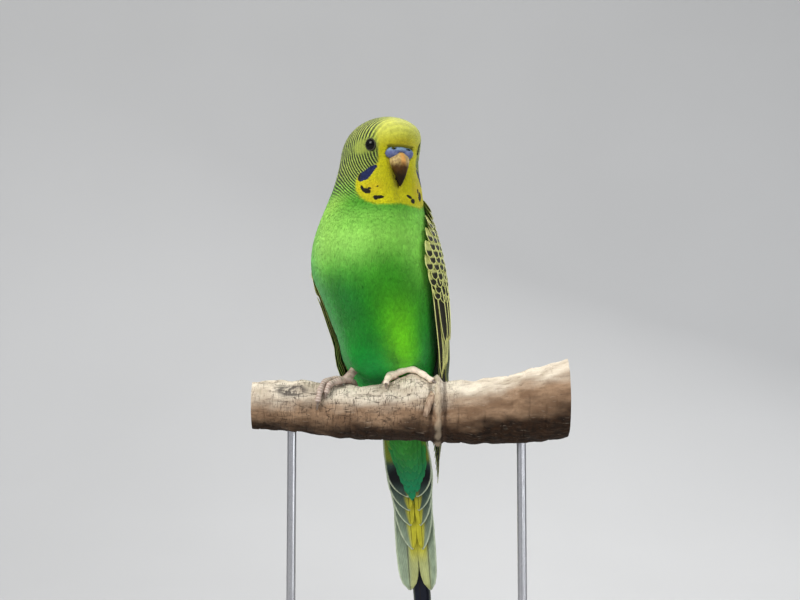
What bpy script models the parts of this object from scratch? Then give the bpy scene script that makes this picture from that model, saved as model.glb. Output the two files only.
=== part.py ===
"""A life-size budgerigar on a cut length of branch, held by a plain display stand.

Lengths are in millimetres until build_mesh turns them into metres. +Z is up, the bird looks
towards -Y, and +X is the side of its left wing. The origin is the middle of the base's underside.
"""

import math

import bmesh
import bpy
from mathutils import Matrix, Vector

MM = 0.001
GAP = 0.3

# Stand
BASE_LENGTH = 124.0
BASE_DEPTH = 96.0
BASE_HEIGHT = 8.0
BASE_ROUND = 1.2
ROD_RADIUS = 1.6
ROD_X = (-38.0, 42.0)
ROD_DEPTH_IN_BASE = 5.0
ROD_DEPTH_IN_PERCH = 7.0
HOLE_PAST_BARK = 13.0
HOLE_PAST_BASE = 5.0

# Perch: x, height of its axis, y of its axis, radius
PERCH_Y = -15.0
PERCH_LINE = (
    (-52.0, 101.6, 6.0, 8.3),
    (-35.0, 100.9, 4.0, 9.1),
    (-17.5, 99.0, 2.0, 9.5),
    (0.0, 98.8, 0.0, 10.0),
    (14.0, 98.6, -1.6, 10.7),
    (35.0, 99.5, -4.2, 11.6),
    (51.0, 101.6, -6.2, 13.2),
    (58.0, 103.0, -7.0, 13.4),
)
PERCH_SIDES = 16
PERCH_STEPS = 28
KNOT_X = 4.0
KNOT_HEIGHT = 3.6
KNOT_LENGTH = 6.5
KNOT_ARC = 30.0
RING_X = 13.0
RING_HEIGHT = 0.8
RING_LENGTH = 2.0
TWIG_ROOT = (12.0, 45.0)
TWIG_TIP = (8.6, 100.0)
TWIG_RADIUS = 1.5
TWIG_SUNK = 3.0
TWIG_LIFT = 0.4
TWIG_TAPER = 0.6

# Coat: height, middle x, middle y, half width, depth in front, depth behind, turn in degrees
COAT = (
    (60.0, 5.2, 32.6, 7.6, 2.6, 2.6, -10.0),
    (68.0, 4.6, 30.0, 8.0, 2.9, 2.9, -10.0),
    (76.0, 4.0, 27.4, 8.2, 3.7, 3.5, -10.0),
    (84.0, 3.3, 24.8, 8.5, 5.0, 4.8, -10.0),
    (92.0, 2.2, 22.2, 9.2, 6.6, 6.8, -11.0),
    (98.0, 1.2, 20.8, 10.3, 8.0, 8.8, -12.0),
    (103.0, 0.2, 19.4, 11.6, 8.6, 10.8, -12.0),
    (108.0, -1.2, 17.0, 13.2, 9.8, 13.4, -12.0),
    (113.0, -2.9, 13.5, 14.9, 13.5, 16.6, -12.0),
    (118.0, -3.8, 10.2, 16.6, 18.0, 19.2, -12.0),
    (124.0, -4.2, 7.4, 17.4, 21.4, 20.6, -12.0),
    (131.0, -5.4, 5.2, 18.9, 23.4, 21.0, -12.0),
    (139.0, -6.9, 3.0, 20.5, 24.4, 20.6, -12.0),
    (147.0, -8.9, 1.0, 22.0, 24.4, 19.8, -12.0),
    (156.0, -9.6, -1.0, 21.3, 23.0, 18.4, -11.0),
    (164.0, -9.4, -2.8, 19.3, 20.2, 17.0, -6.0),
    (171.0, -8.7, -4.4, 17.1, 17.0, 15.9, 3.0),
    (177.0, -7.9, -5.2, 15.5, 15.0, 15.2, 14.0),
    (182.0, -7.6, -5.6, 14.3, 14.0, 14.6, 22.0),
    (186.0, -7.4, -5.8, 13.6, 15.0, 14.2, 25.0),
    (190.0, -7.1, -5.8, 13.2, 17.6, 13.8, 26.0),
    (193.5, -6.5, -5.8, 12.6, 18.1, 13.2, 26.0),
    (196.5, -5.9, -5.8, 11.3, 16.5, 12.0, 26.0),
    (199.0, -5.5, -5.8, 9.0, 12.7, 9.6, 26.0),
    (200.8, -5.1, -5.8, 6.3, 8.2, 6.6, 26.0),
    (201.9, -4.9, -5.8, 3.2, 4.0, 3.4, 26.0),
)
CROWN = 202.4
COAT_SIDES = 24
TORSO_HEIGHTS = (103.2, 106, 109, 112.5, 116, 120, 125, 131, 138, 145, 152, 158.5, 164, 168.35)
NECK_HEIGHTS = (168.65, 170.5, 173.35)
HEAD_HEIGHTS = (173.65, 176.5, 179.5, 183, 186, 189, 192, 194.5, 197, 199, 200.6, 201.8)

# Head: its own axis stands at this x and y, and looks this way
HEAD_X = -6.6
HEAD_Y = -5.8
HEAD_TURN = 26.0
EYE_HEIGHT = 189.7
EYE_ANGLE = 45.0
EYE_RADIUS = 2.9
EYE_OPENING = 2.0
LID_RADIUS = 2.3
LID_THICK = 0.55
LID_SINK = 0.1
# The outline of a level section of the bill, as shares of its half width and of its depth
BILL_OUTLINE = (
    (1.0, 0.0),
    (0.93, 0.45),
    (0.62, 0.8),
    (0.2, 0.97),
    (-0.2, 0.97),
    (-0.62, 0.8),
    (-0.93, 0.45),
    (-1.0, 0.0),
)
# Bill: height, half width, and how far forward its front and its back lie
UPPER_BILL = (
    (187.2, 3.0, 16.0, 11.0),
    (185.8, 3.6, 17.2, 11.0),
    (183.9, 3.7, 18.0, 11.0),
    (181.9, 3.4, 18.1, 11.6),
    (180.9, 3.1, 17.9, 15.2),
    (179.4, 2.5, 17.4, 15.0),
    (177.6, 1.6, 16.6, 14.6),
    (176.3, 0.8, 15.9, 14.6),
    (175.5, 0.25, 15.4, 14.8),
)
LOWER_BILL = (
    (180.5, 2.5, 14.7, 11.0),
    (179.3, 2.6, 14.5, 11.0),
    (178.1, 2.2, 14.1, 11.2),
    (177.2, 1.4, 13.8, 11.8),
)
# Cere: how far to the side, how far forward, and the height
CERE_LOBE = (2.6, 14.4, 187.0)
CERE_LOBE_RADII = (2.6, 2.2, 2.0)
CERE_BRIDGE = (0.0, 14.9, 188.0)
CERE_BRIDGE_RADII = (3.2, 1.8, 1.1)
NOSTRIL = (2.5, 16.2, 188.2)
NOSTRIL_RADIUS = 0.45
NOSTRIL_DEPTH = 1.2

# Legs: each thigh's middle, with y from the perch's axis
THIGH_RADII = (7.2, 10.5, 10.2)
THIGH_LEFT = (3.4, -0.5, 124.0)
THIGH_RIGHT = (-12.4, 2.0, 122.4)
THIGH_TURN = -12.0
SHANK_RADIUS = 1.5
SHANK_ANKLE = 1.15
SHANK_SIDES = 10
SHANK_INTO_THIGH = 0.6
PALM_RADII = (2.2, 2.2, 1.5)
PALM_LIFT = 0.3
# Feet: the heel, then each toe from the heel to its claw's tip, as x and the angle round the bark
FEET = {
    "foot_r": (
        (-18.6, 4.0),
        (
            ((-18.6, 4.0), (-22.5, 12.0), (-26.0, 32.0), (-27.6, 56.0), (-28.4, 78.0), (-28.7, 96.0)),
            ((-18.6, 4.0), (-21.4, 22.0), (-24.4, 40.0), (-25.6, 58.0), (-26.0, 72.0)),
            ((-18.6, 4.0), (-21.0, -18.0), (-23.4, -44.0), (-24.6, -70.0), (-25.0, -90.0)),
            ((-18.6, 4.0), (-16.6, -20.0), (-15.2, -46.0), (-14.6, -66.0), (-14.4, -82.0)),
        ),
    ),
    "foot_l": (
        (-2.8, -2.0),
        (
            ((-2.8, -2.0), (0.6, 4.0), (4.4, 10.0), (8.0, 18.0), (11.0, 28.0), (13.2, 38.0)),
            ((-2.8, -2.0), (-4.2, 14.0), (-4.8, 28.0), (-4.8, 42.0)),
            ((-2.8, -2.0), (0.0, -24.0), (2.2, -48.0), (3.4, -70.0), (3.8, -88.0)),
            ((-2.8, -2.0), (-5.0, -24.0), (-6.6, -48.0), (-7.4, -68.0), (-7.8, -84.0)),
        ),
    ),
}
TOE_RADIUS = 1.25
TOE_WIDEST = 1.08
TOE_TAPER = 0.25
TOE_KNUCKLE = 0.12
TOE_CLEAR = 0.15
TOE_STEPS = 2
TOE_SIDES = 6
CLAW_RADIUS = 0.62
CLAW_TIP = 0.18

# Wing's arm: height, then as angles round the coat its front edge on the left and on the right wing
# and its back edge, then its thickness
WING_ARM = (
    (167.0, 4.0, 20.0, 56.0, 0.9),
    (160.0, -7.0, 8.0, 74.0, 1.7),
    (152.0, -18.0, -2.0, 80.0, 2.1),
    (144.0, -27.0, -12.0, 82.0, 2.3),
    (136.0, -20.0, -18.0, 82.0, 2.4),
    (129.0, -10.0, -10.0, 66.0, 1.6),
)
WING_COLUMNS = 6
WING_CLEAR = 0.65
WING_ARM_EDGE = 0.3
WING_ARM_ROUND = 0.6
# Height, and how far the lowest tier of feathers lies off the coat there
WING_LIFT = (
    (70.0, 1.8),
    (80.0, 2.2),
    (90.0, 3.3),
    (100.0, 4.2),
    (110.0, 3.8),
    (120.0, 2.6),
    (132.0, 1.8),
    (150.0, 1.4),
    (167.0, 1.1),
)
# Tracts: how many feathers, heights of the first and the last root and of the first and the last
# tip, angles of the same, tier at the root and at the tip, half width, tilt, stations along it
WING_TRACTS = {
    "primary": (
        6, (135.0, 130.0), (75.0, 96.0), (-12.0, 14.0), (19.0, 54.0), (0.0, 0.0), 3.3, 15.0, 6
    ),
    "secondary": (
        6, (140.0, 141.0), (102.0, 114.0), (4.0, 74.0), (32.0, 83.0), (0.7, 1.4), 4.0, 9.0, 4
    ),
    "primary_covert": (
        2, (146.0, 145.0), (112.0, 119.0), (-21.0, -13.0), (0.0, 10.0), (0.6, 1.0), 2.4, 10.0, 4
    ),
    "greater_covert": (
        6, (149.0, 150.0), (129.0, 131.0), (-13.0, 70.0), (-2.0, 77.0), (0.8, 2.2), 4.1, 9.0, 4
    ),
    "median_covert": (
        5, (157.0, 158.0), (144.0, 146.0), (-4.0, 60.0), (-10.0, 72.0), (0.5, 2.1), 4.4, 8.0, 3
    ),
}
# Where it is along a feather, and its share of the half width there
WING_FEATHER_WIDTHS = ((0.0, 0.5), (0.3, 0.9), (0.65, 1.0), (0.85, 0.85), (1.0, 0.16))
VANE_THICK = 0.7
VANE_EDGE = 0.5
VANE_CROWN = 0.1

# Tail: y from the perch's axis
TAIL_ROOT = (2.2, 22.2, 92.0)
TAIL_SLOPE = (0.074, 0.325, -1.0)
TAIL_TURN = -10.0
TAIL_CORE_HEIGHTS = (102.8, 98.0, 93.0)
# The core's end: how far along the tail, half width, half depth
TAIL_CORE_END = ((3.5, 8.2, 5.6), (9.0, 7.6, 4.1), (15.0, 6.4, 2.8), (21.0, 4.4, 1.5))
# Tail feathers from the middle pair out: length, side shift of the tip, half width, layer
TAIL_FEATHERS = (
    (84.0, 0.7, 2.9, 2.0),
    (60.0, 3.6, 3.1, 0.6),
    (44.0, 4.2, 3.3, -0.3),
    (34.5, 4.7, 3.2, -1.2),
    (28.5, 5.0, 3.0, -2.1),
    (23.0, 5.3, 2.7, -3.0),
)
TAIL_FEATHER_WIDTHS = ((0.0, 0.75), (0.4, 0.95), (0.75, 1.0), (0.92, 0.72), (1.0, 0.22))
TAIL_ROOT_SHIFT = 0.45
TAIL_ROOT_LAYER = 0.6
TAIL_SPREAD_SOON = 1.6
TAIL_LONG_STATIONS = 7
TAIL_STATIONS = 5
TAIL_LAYER_GAP = 0.9
# Coverts under and over the tail: start along it, length, side shift, half width, layer of the tip
TAIL_COVERTS = (
    (3.0, 30.0, 0.0, 3.6, -4.4),
    (0.0, 21.0, 3.8, 3.2, -4.4),
    (0.0, 21.0, -3.8, 3.2, -4.4),
    (3.0, 27.0, 0.0, 3.6, 3.4),
    (0.0, 20.0, 3.8, 3.2, 3.4),
    (0.0, 20.0, -3.8, 3.2, 3.4),
)
COVERT_ROOT_SHIFT = 0.6
COVERT_ROOT_LAYER = 0.7
COVERT_STATIONS = 4

SHARP_ANGLE = 40.0
# Finish: colour, roughness, metallic
FINISHES = {
    "head": ((0.62, 0.62, 0.05), 0.8, 0.0),
    "breast": ((0.10, 0.50, 0.05), 0.8, 0.0),
    "flank": ((0.13, 0.52, 0.06), 0.8, 0.0),
    "wing": ((0.30, 0.33, 0.10), 0.75, 0.0),
    "tail": ((0.10, 0.36, 0.20), 0.7, 0.0),
    "eye": ((0.01, 0.01, 0.012), 0.1, 0.0),
    "cere": ((0.22, 0.28, 0.55), 0.45, 0.0),
    "bill": ((0.42, 0.30, 0.18), 0.4, 0.0),
    "foot": ((0.50, 0.42, 0.39), 0.6, 0.0),
    "bark": ((0.33, 0.24, 0.19), 0.9, 0.0),
    "base": ((0.70, 0.68, 0.64), 0.5, 0.0),
    "rod": ((0.62, 0.62, 0.62), 0.3, 1.0),
}


def clear_scene():
    for obj in list(bpy.data.objects):
        bpy.data.objects.remove(obj, do_unlink=True)


def new_collection(name):
    made = bpy.data.collections.new(name)
    bpy.context.scene.collection.children.link(made)
    return made


def material(name, colour, roughness, metallic):
    made = bpy.data.materials.new(name)
    made.use_nodes = True
    shader = made.node_tree.nodes["Principled BSDF"]
    shader.inputs["Base Color"].default_value = (*colour, 1.0)
    shader.inputs["Roughness"].default_value = roughness
    shader.inputs["Metallic"].default_value = metallic
    return made


def build_mesh(name, points, faces):
    """A mesh in metres from points in millimetres, with its faces turned outwards."""
    mesh = bpy.data.meshes.new(name)
    mesh.from_pydata([Vector(point) * MM for point in points], [], faces)
    shape = bmesh.new()
    shape.from_mesh(mesh)
    bmesh.ops.recalc_face_normals(shape, faces=shape.faces)
    bmesh.ops.triangulate(shape, faces=shape.faces)
    if shape.calc_volume(signed=True) < 0:
        bmesh.ops.reverse_faces(shape, faces=shape.faces)
    shape.to_mesh(mesh)
    shape.free()
    return mesh


def place(mesh, collection, name):
    made = bpy.data.objects.new(name, mesh)
    collection.objects.link(made)
    return made


def between(table, height):
    """The rest of a table's row at this height, on a smooth curve through its rows."""
    rows = sorted(table)
    height = min(max(height, rows[0][0]), rows[-1][0])
    at = next(i for i in range(len(rows) - 1) if height <= rows[i + 1][0])
    low, high = rows[at], rows[at + 1]
    before, after = rows[max(at - 1, 0)], rows[min(at + 2, len(rows) - 1)]
    span = high[0] - low[0]
    t = (height - low[0]) / span
    values = []
    for i in range(1, len(low)):
        rise_low = (high[i] - before[i]) / (high[0] - before[0]) * span
        rise_high = (after[i] - low[i]) / (after[0] - low[0]) * span
        values.append(
            low[i] * (2 * t**3 - 3 * t**2 + 1)
            + rise_low * (t**3 - 2 * t**2 + t)
            + high[i] * (3 * t**2 - 2 * t**3)
            + rise_high * (t**3 - t**2)
        )
    return values


def coat_point(height, angle, grow=0.0):
    """A point of the coat. Angle 0 is the bird's left, 90 its back, 180 its right and 270 its front."""
    x, y, half, front, back, turn = between(COAT, height)
    round_it = math.radians(angle)
    depth = back if math.sin(round_it) > 0 else front
    across = math.cos(round_it) * (half + grow)
    along = math.sin(round_it) * (depth + grow)
    turn = math.radians(turn)
    return Vector(
        (
            x + across * math.cos(turn) - along * math.sin(turn),
            PERCH_Y + y + across * math.sin(turn) + along * math.cos(turn),
            height,
        )
    )


def coat_normal(height, angle):
    step = 0.5
    round_it = coat_point(height, angle + step) - coat_point(height, angle - step)
    up_it = coat_point(height + step, angle) - coat_point(height - step, angle)
    return round_it.cross(up_it).normalized()


def loft(name, rings, tip=None):
    """A closed mesh through rings of equal length, with its two ends closed from their middles."""
    sides = len(rings[0])
    points = [point for ring in rings for point in ring]
    faces = []
    for row in range(len(rings) - 1):
        for i in range(sides):
            j = (i + 1) % sides
            first, second = row * sides, (row + 1) * sides
            faces.append((first + i, first + j, second + j))
            faces.append((first + i, second + j, second + i))
    ends = ((0, None), (len(rings) - 1, tip))
    for row, given in ends:
        middle = given or sum((Vector(point) for point in rings[row]), Vector()) / sides
        points.append(middle)
        for i in range(sides):
            faces.append((row * sides + i, row * sides + (i + 1) % sides, len(points) - 1))
    return build_mesh(name, points, faces)


def coat_ring(height, grow=0.0):
    return [coat_point(height, 360.0 * i / COAT_SIDES, grow) for i in range(COAT_SIDES)]


def coat_cutter(heights):
    return loft("coat_grown", [coat_ring(height, GAP) for height in heights])


def ellipsoid(name, middle, radii, turn=0.0, sides=14, rings=9):
    """A closed ellipsoid, turned round +Z."""
    shape = bmesh.new()
    bmesh.ops.create_uvsphere(shape, u_segments=sides, v_segments=rings, radius=1.0)
    matrix = (
        Matrix.Translation(Vector(middle) * MM)
        @ Matrix.Rotation(math.radians(turn), 4, "Z")
        @ Matrix.Diagonal((*(radius * MM for radius in radii), 1.0))
    )
    bmesh.ops.transform(shape, matrix=matrix, verts=shape.verts)
    mesh = bpy.data.meshes.new(name)
    shape.to_mesh(mesh)
    shape.free()
    return mesh


def cylinder(name, x, y, low, high, radius, sides=18):
    shape = bmesh.new()
    wide = radius * MM
    tall = (high - low) * MM
    bmesh.ops.create_cone(shape, cap_ends=True, segments=sides, radius1=wide, radius2=wide, depth=tall)
    middle = Vector((x, y, (low + high) / 2)) * MM
    bmesh.ops.translate(shape, vec=middle, verts=shape.verts)
    mesh = bpy.data.meshes.new(name)
    shape.to_mesh(mesh)
    shape.free()
    return mesh


def torus(name, middle, axis, ring_radius, thick, around=14, across=6):
    """A closed ring whose axis is the given direction."""
    turned = Vector(axis).to_track_quat("Z", "Y")
    points = []
    for i in range(around):
        a = 2 * math.pi * i / around
        for j in range(across):
            b = 2 * math.pi * j / across
            r = ring_radius + thick * math.cos(b)
            local = Vector((r * math.cos(a), r * math.sin(a), thick * math.sin(b)))
            points.append(Vector(middle) + turned @ local)
    faces = []
    for i in range(around):
        for j in range(across):
            k, m = (i + 1) % around, (j + 1) % across
            faces.append((i * across + j, k * across + j, k * across + m, i * across + m))
    return build_mesh(name, points, faces)


def smooth_path(points, steps):
    """Points on a smooth curve through the given ones, with this many steps to each stretch."""
    points = [Vector(point) for point in points]
    found = []
    for i in range(len(points) - 1):
        before = points[max(i - 1, 0)]
        after = points[min(i + 2, len(points) - 1)]
        low, high = points[i], points[i + 1]
        for step in range(steps):
            t = step / steps
            found.append(
                0.5
                * (
                    2 * low
                    + (high - before) * t
                    + (2 * before - 5 * low + 4 * high - after) * t**2
                    + (3 * low - before - 3 * high + after) * t**3
                )
            )
    found.append(points[-1])
    return found


def tube(name, path, radii, sides=TOE_SIDES):
    """A closed tube along a path, with one radius for each point."""
    rings = []
    side = None
    for i, middle in enumerate(path):
        ahead = (path[min(i + 1, len(path) - 1)] - path[max(i - 1, 0)]).normalized()
        if side is None:
            side = ahead.orthogonal().normalized()
        side = (side - ahead * side.dot(ahead)).normalized()
        other = ahead.cross(side)
        ring = []
        for j in range(sides):
            a = 2 * math.pi * j / sides
            ring.append(middle + (side * math.cos(a) + other * math.sin(a)) * radii[i])
        rings.append(ring)
    return loft(name, rings)


def apply_boolean(obj, operation, operand):
    """Joins or cuts obj with an object or with a collection, at once."""
    change = obj.modifiers.new("change", "BOOLEAN")
    change.operation = operation
    if isinstance(operand, bpy.types.Collection):
        change.operand_type = "COLLECTION"
        change.collection = operand
    else:
        change.object = operand
    bpy.context.view_layer.update()
    evaluated = obj.evaluated_get(bpy.context.evaluated_depsgraph_get())
    mesh = bpy.data.meshes.new_from_object(evaluated)
    obj.modifiers.clear()
    obj.data = mesh


def keep_largest(obj):
    """Leaves only the largest closed surface of a mesh."""
    shape = bmesh.new()
    shape.from_mesh(obj.data)
    bmesh.ops.triangulate(shape, faces=shape.faces)
    left = set(shape.verts)
    groups = []
    while left:
        group, edge = set(), [left.pop()]
        while edge:
            vert = edge.pop()
            group.add(vert)
            for link in vert.link_edges:
                other = link.other_vert(vert)
                if other in left:
                    left.discard(other)
                    edge.append(other)
        groups.append(group)
    largest = max(groups, key=len)
    extra = [vert for group in groups if group is not largest for vert in group]
    bmesh.ops.delete(shape, geom=extra, context="VERTS")
    shape.to_mesh(obj.data)
    shape.free()


def join(name, meshes, collection):
    """One closed object from several meshes that run into each other."""
    pieces = new_collection(name + "_pieces")
    first = place(meshes[0], collection, name)
    for mesh in meshes[1:]:
        place(mesh, pieces, mesh.name)
    apply_boolean(first, "UNION", pieces)
    for piece in list(pieces.objects):
        bpy.data.objects.remove(piece, do_unlink=True)
    bpy.data.collections.remove(pieces)
    keep_largest(first)
    return first


def cut(obj, meshes):
    """Cuts closed meshes out of an object."""
    for mesh in meshes:
        cutter = bpy.data.objects.new(mesh.name + "_cutter", mesh)
        bpy.context.scene.collection.objects.link(cutter)
        apply_boolean(obj, "DIFFERENCE", cutter)
        bpy.data.objects.remove(cutter, do_unlink=True)
    keep_largest(obj)


def head_point(side, forward, height):
    """A place on the head: how far to the bird's left, how far forward, and its height."""
    turn = math.radians(HEAD_TURN)
    return Vector(
        (
            HEAD_X + side * math.cos(turn) + forward * math.sin(turn),
            PERCH_Y + HEAD_Y + side * math.sin(turn) - forward * math.cos(turn),
            height,
        )
    )


def eye_place(side):
    """Middle of the eyeball, middle of its opening, and the way it looks. Side 1 is the left eye."""
    angle = 360.0 - EYE_ANGLE if side > 0 else 180.0 + EYE_ANGLE
    opening = coat_point(EYE_HEIGHT, angle)
    out = coat_normal(EYE_HEIGHT, angle)
    depth = math.sqrt(EYE_RADIUS**2 - EYE_OPENING**2)
    return opening - out * depth, opening, out


def bill_mesh(name, table, grow=0.0):
    """A loft of level sections, each a rounded wedge with a ridge in front."""
    rings = []
    for row, (height, half, front, back) in enumerate(table):
        if row == 0:
            height += grow
        if row == len(table) - 1:
            height -= grow
        half, front, back = half + grow, front + grow, back - grow
        ring = []
        for side, ahead in BILL_OUTLINE:
            ring.append(head_point(half * side, back + (front - back) * ahead, height))
        rings.append(ring)
    return loft(name, rings)


def cere_meshes(grow=0.0):
    found = []
    places = (
        ("lobe_l", CERE_LOBE, CERE_LOBE_RADII),
        ("lobe_r", (-CERE_LOBE[0], *CERE_LOBE[1:]), CERE_LOBE_RADII),
        ("bridge", CERE_BRIDGE, CERE_BRIDGE_RADII),
    )
    for name, middle, radii in places:
        radii = [radius + grow for radius in radii]
        found.append(ellipsoid("cere_" + name, head_point(*middle), radii, HEAD_TURN, 12, 7))
    return found


def make_head(collection, finish):
    crown = Vector((COAT[-1][1], PERCH_Y + COAT[-1][2], CROWN))
    skull = loft("head", [coat_ring(height) for height in HEAD_HEIGHTS], crown)
    lids = []
    sockets = []
    for side, name in ((1, "l"), (-1, "r")):
        middle, opening, out = eye_place(side)
        lids.append(torus("lid_" + name, opening - out * LID_SINK, out, LID_RADIUS, LID_THICK))
        sockets.append(ellipsoid("socket_" + name, middle, [EYE_RADIUS + GAP] * 3))
        eye = place(ellipsoid("eye_" + name, middle, [EYE_RADIUS] * 3), collection, "eye_" + name)
        eye.data.materials.append(finish["eye"])
    head = join("head", [skull, *lids], collection)
    cut(head, sockets)
    cut(head, cere_meshes(GAP))
    cut(head, [bill_mesh("upper_grown", UPPER_BILL, GAP), bill_mesh("lower_grown", LOWER_BILL, GAP)])
    head.data.materials.append(finish["head"])

    upper = place(bill_mesh("bill_upper", UPPER_BILL), collection, "bill_upper")
    upper.data.materials.append(finish["bill"])
    lower = place(bill_mesh("bill_lower", LOWER_BILL), collection, "bill_lower")
    cut(lower, [bill_mesh("upper_grown", UPPER_BILL, GAP)])
    lower.data.materials.append(finish["bill"])
    cere = join("cere", cere_meshes(), collection)
    nostrils = []
    for side in (1, -1):
        at = head_point(side * NOSTRIL[0], NOSTRIL[1], NOSTRIL[2])
        radii = (NOSTRIL_RADIUS, NOSTRIL_DEPTH, NOSTRIL_RADIUS)
        nostrils.append(ellipsoid("nostril", at, radii, HEAD_TURN, 10, 8))
    cut(cere, [bill_mesh("upper_grown", UPPER_BILL, GAP), *nostrils])
    cere.data.materials.append(finish["cere"])


def thigh_mesh(name, middle, grow=0.0):
    at = (middle[0], PERCH_Y + middle[1], middle[2])
    radii = [radius + grow for radius in THIGH_RADII]
    return ellipsoid(name, at, radii, THIGH_TURN)


def make_body(collection, finish):
    neck = place(loft("neck", [coat_ring(height) for height in NECK_HEIGHTS]), collection, "neck")
    neck.data.materials.append(finish["breast"])
    torso = place(loft("torso", [coat_ring(height) for height in TORSO_HEIGHTS]), collection, "torso")
    for name, middle in (("thigh_l", THIGH_LEFT), ("thigh_r", THIGH_RIGHT)):
        cut(torso, [thigh_mesh(name, middle, GAP)])
        thigh = place(thigh_mesh(name, middle), collection, name)
        thigh.data.materials.append(finish["flank"])
    torso.data.materials.append(finish["breast"])


def perch_axis(x):
    height, y, radius = between(PERCH_LINE, x)
    return Vector((x, PERCH_Y + y, height)), radius


def perch_point(x, angle, grow=0.0):
    """A point of the bark. Angle 0 is its top, and 90 the side in front."""
    middle, radius = perch_axis(x)
    turned = (angle + 180.0) % 360.0 - 180.0
    radius += KNOT_HEIGHT * math.exp(-(((x - KNOT_X) / KNOT_LENGTH) ** 2) - (turned / KNOT_ARC) ** 2)
    radius += RING_HEIGHT * math.exp(-(((x - RING_X) / RING_LENGTH) ** 2))
    away = math.radians(angle)
    return middle + Vector((0.0, -math.sin(away), math.cos(away))) * (radius + grow)


def make_perch(collection, finish):
    first, last = PERCH_LINE[0][0], PERCH_LINE[-1][0]
    rings = []
    for i in range(PERCH_STEPS + 1):
        x = first + (last - first) * i / PERCH_STEPS
        rings.append([perch_point(x, 360.0 * j / PERCH_SIDES) for j in range(PERCH_SIDES)])
    root = perch_point(*TWIG_ROOT, -TWIG_SUNK)
    middle_x, middle_angle = [(low + high) / 2 for low, high in zip(TWIG_ROOT, TWIG_TIP)]
    middle = perch_point(middle_x, middle_angle, TWIG_LIFT)
    tip = perch_point(*TWIG_TIP, 2 * TWIG_LIFT)
    path = smooth_path([root, middle, tip], 3)
    radii = [TWIG_RADIUS] * (len(path) - 1) + [TWIG_RADIUS * TWIG_TAPER]
    twig = tube("twig", path, radii)
    perch = join("perch", [loft("perch", rings), twig], collection)
    holes = []
    for x in ROD_X:
        middle = perch_axis(x)[0]
        top = perch_point(x, 180.0).z + ROD_DEPTH_IN_PERCH
        bottom = top - ROD_DEPTH_IN_PERCH - HOLE_PAST_BARK
        holes.append(cylinder("rod_hole", x, middle.y, bottom, top, ROD_RADIUS + GAP))
    cut(perch, holes)
    perch.data.materials.append(finish["bark"])


def make_stand(collection, finish):
    bpy.ops.mesh.primitive_cube_add(size=1.0, location=(0.0, 0.0, BASE_HEIGHT / 2 * MM))
    base = bpy.context.object
    base.name = "stand_base"
    base.scale = (BASE_LENGTH * MM, BASE_DEPTH * MM, BASE_HEIGHT * MM)
    bpy.ops.object.transform_apply(location=True, rotation=False, scale=True)
    for group in list(base.users_collection):
        group.objects.unlink(base)
    collection.objects.link(base)
    edge = base.modifiers.new("edge", "BEVEL")
    edge.width = BASE_ROUND * MM
    edge.segments = 2
    evaluated = base.evaluated_get(bpy.context.evaluated_depsgraph_get())
    mesh = bpy.data.meshes.new_from_object(evaluated)
    base.modifiers.clear()
    base.data = mesh
    holes = []
    for x, name in zip(ROD_X, ("stand_rod_r", "stand_rod_l")):
        y = perch_axis(x)[0].y
        floor = BASE_HEIGHT - ROD_DEPTH_IN_BASE
        top = perch_point(x, 180.0).z + ROD_DEPTH_IN_PERCH - GAP
        above = BASE_HEIGHT + HOLE_PAST_BASE
        holes.append(cylinder("base_hole", x, y, floor, above, ROD_RADIUS + GAP))
        rod = place(cylinder(name, x, y, floor + GAP, top, ROD_RADIUS), collection, name)
        rod.data.materials.append(finish["rod"])
    cut(base, holes)
    base.data.materials.clear()
    base.data.materials.append(finish["base"])


def toe_mesh(name, places):
    """A toe laid round the bark, with a claw on its last stretch."""
    points = []
    for i, (x, angle) in enumerate(places):
        last = i >= len(places) - 2
        lift = GAP + (CLAW_RADIUS if last else TOE_RADIUS)
        if i == len(places) - 1:
            lift = GAP + CLAW_TIP
        points.append(perch_point(x, angle, lift + TOE_CLEAR))
    path = smooth_path(points, TOE_STEPS)
    toe_end = (len(places) - 2) * TOE_STEPS
    radii = []
    for i in range(len(path)):
        if i < toe_end:
            knuckle = TOE_KNUCKLE * math.cos(2 * math.pi * i / TOE_STEPS)
            radii.append(TOE_RADIUS * (TOE_WIDEST - TOE_TAPER * i / toe_end) + knuckle)
        else:
            t = (i - toe_end) / (len(path) - 1 - toe_end)
            radii.append(CLAW_RADIUS * (1 - t) + CLAW_TIP * t)
    return tube(name, path, radii)


def make_feet(collection, finish):
    for name, thigh in (("foot_r", THIGH_RIGHT), ("foot_l", THIGH_LEFT)):
        (x, angle), toes = FEET[name]
        heel = perch_point(x, angle, GAP + TOE_RADIUS + PALM_LIFT)
        bottom = thigh[2] - THIGH_RADII[2] * SHANK_INTO_THIGH
        thigh_bottom = Vector((thigh[0], PERCH_Y + thigh[1], bottom))
        path = [heel, heel.lerp(thigh_bottom, 0.5), thigh_bottom]
        radii = [SHANK_RADIUS * SHANK_ANKLE, SHANK_RADIUS, SHANK_RADIUS]
        shank = tube(name + "_shank", path, radii, SHANK_SIDES)
        palm = ellipsoid(name + "_palm", heel, PALM_RADII, 0.0, 12, 8)
        pieces = [palm, shank]
        for i, places in enumerate(toes):
            pieces.append(toe_mesh(f"{name}_toe{i}", places))
        foot = join(name, pieces, collection)
        cut(foot, [thigh_mesh("thigh_grown", thigh, GAP), coat_cutter(TORSO_HEIGHTS)])
        foot.data.materials.append(finish["foot"])


def blend(low, high, t):
    return low + (high - low) * t


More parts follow.
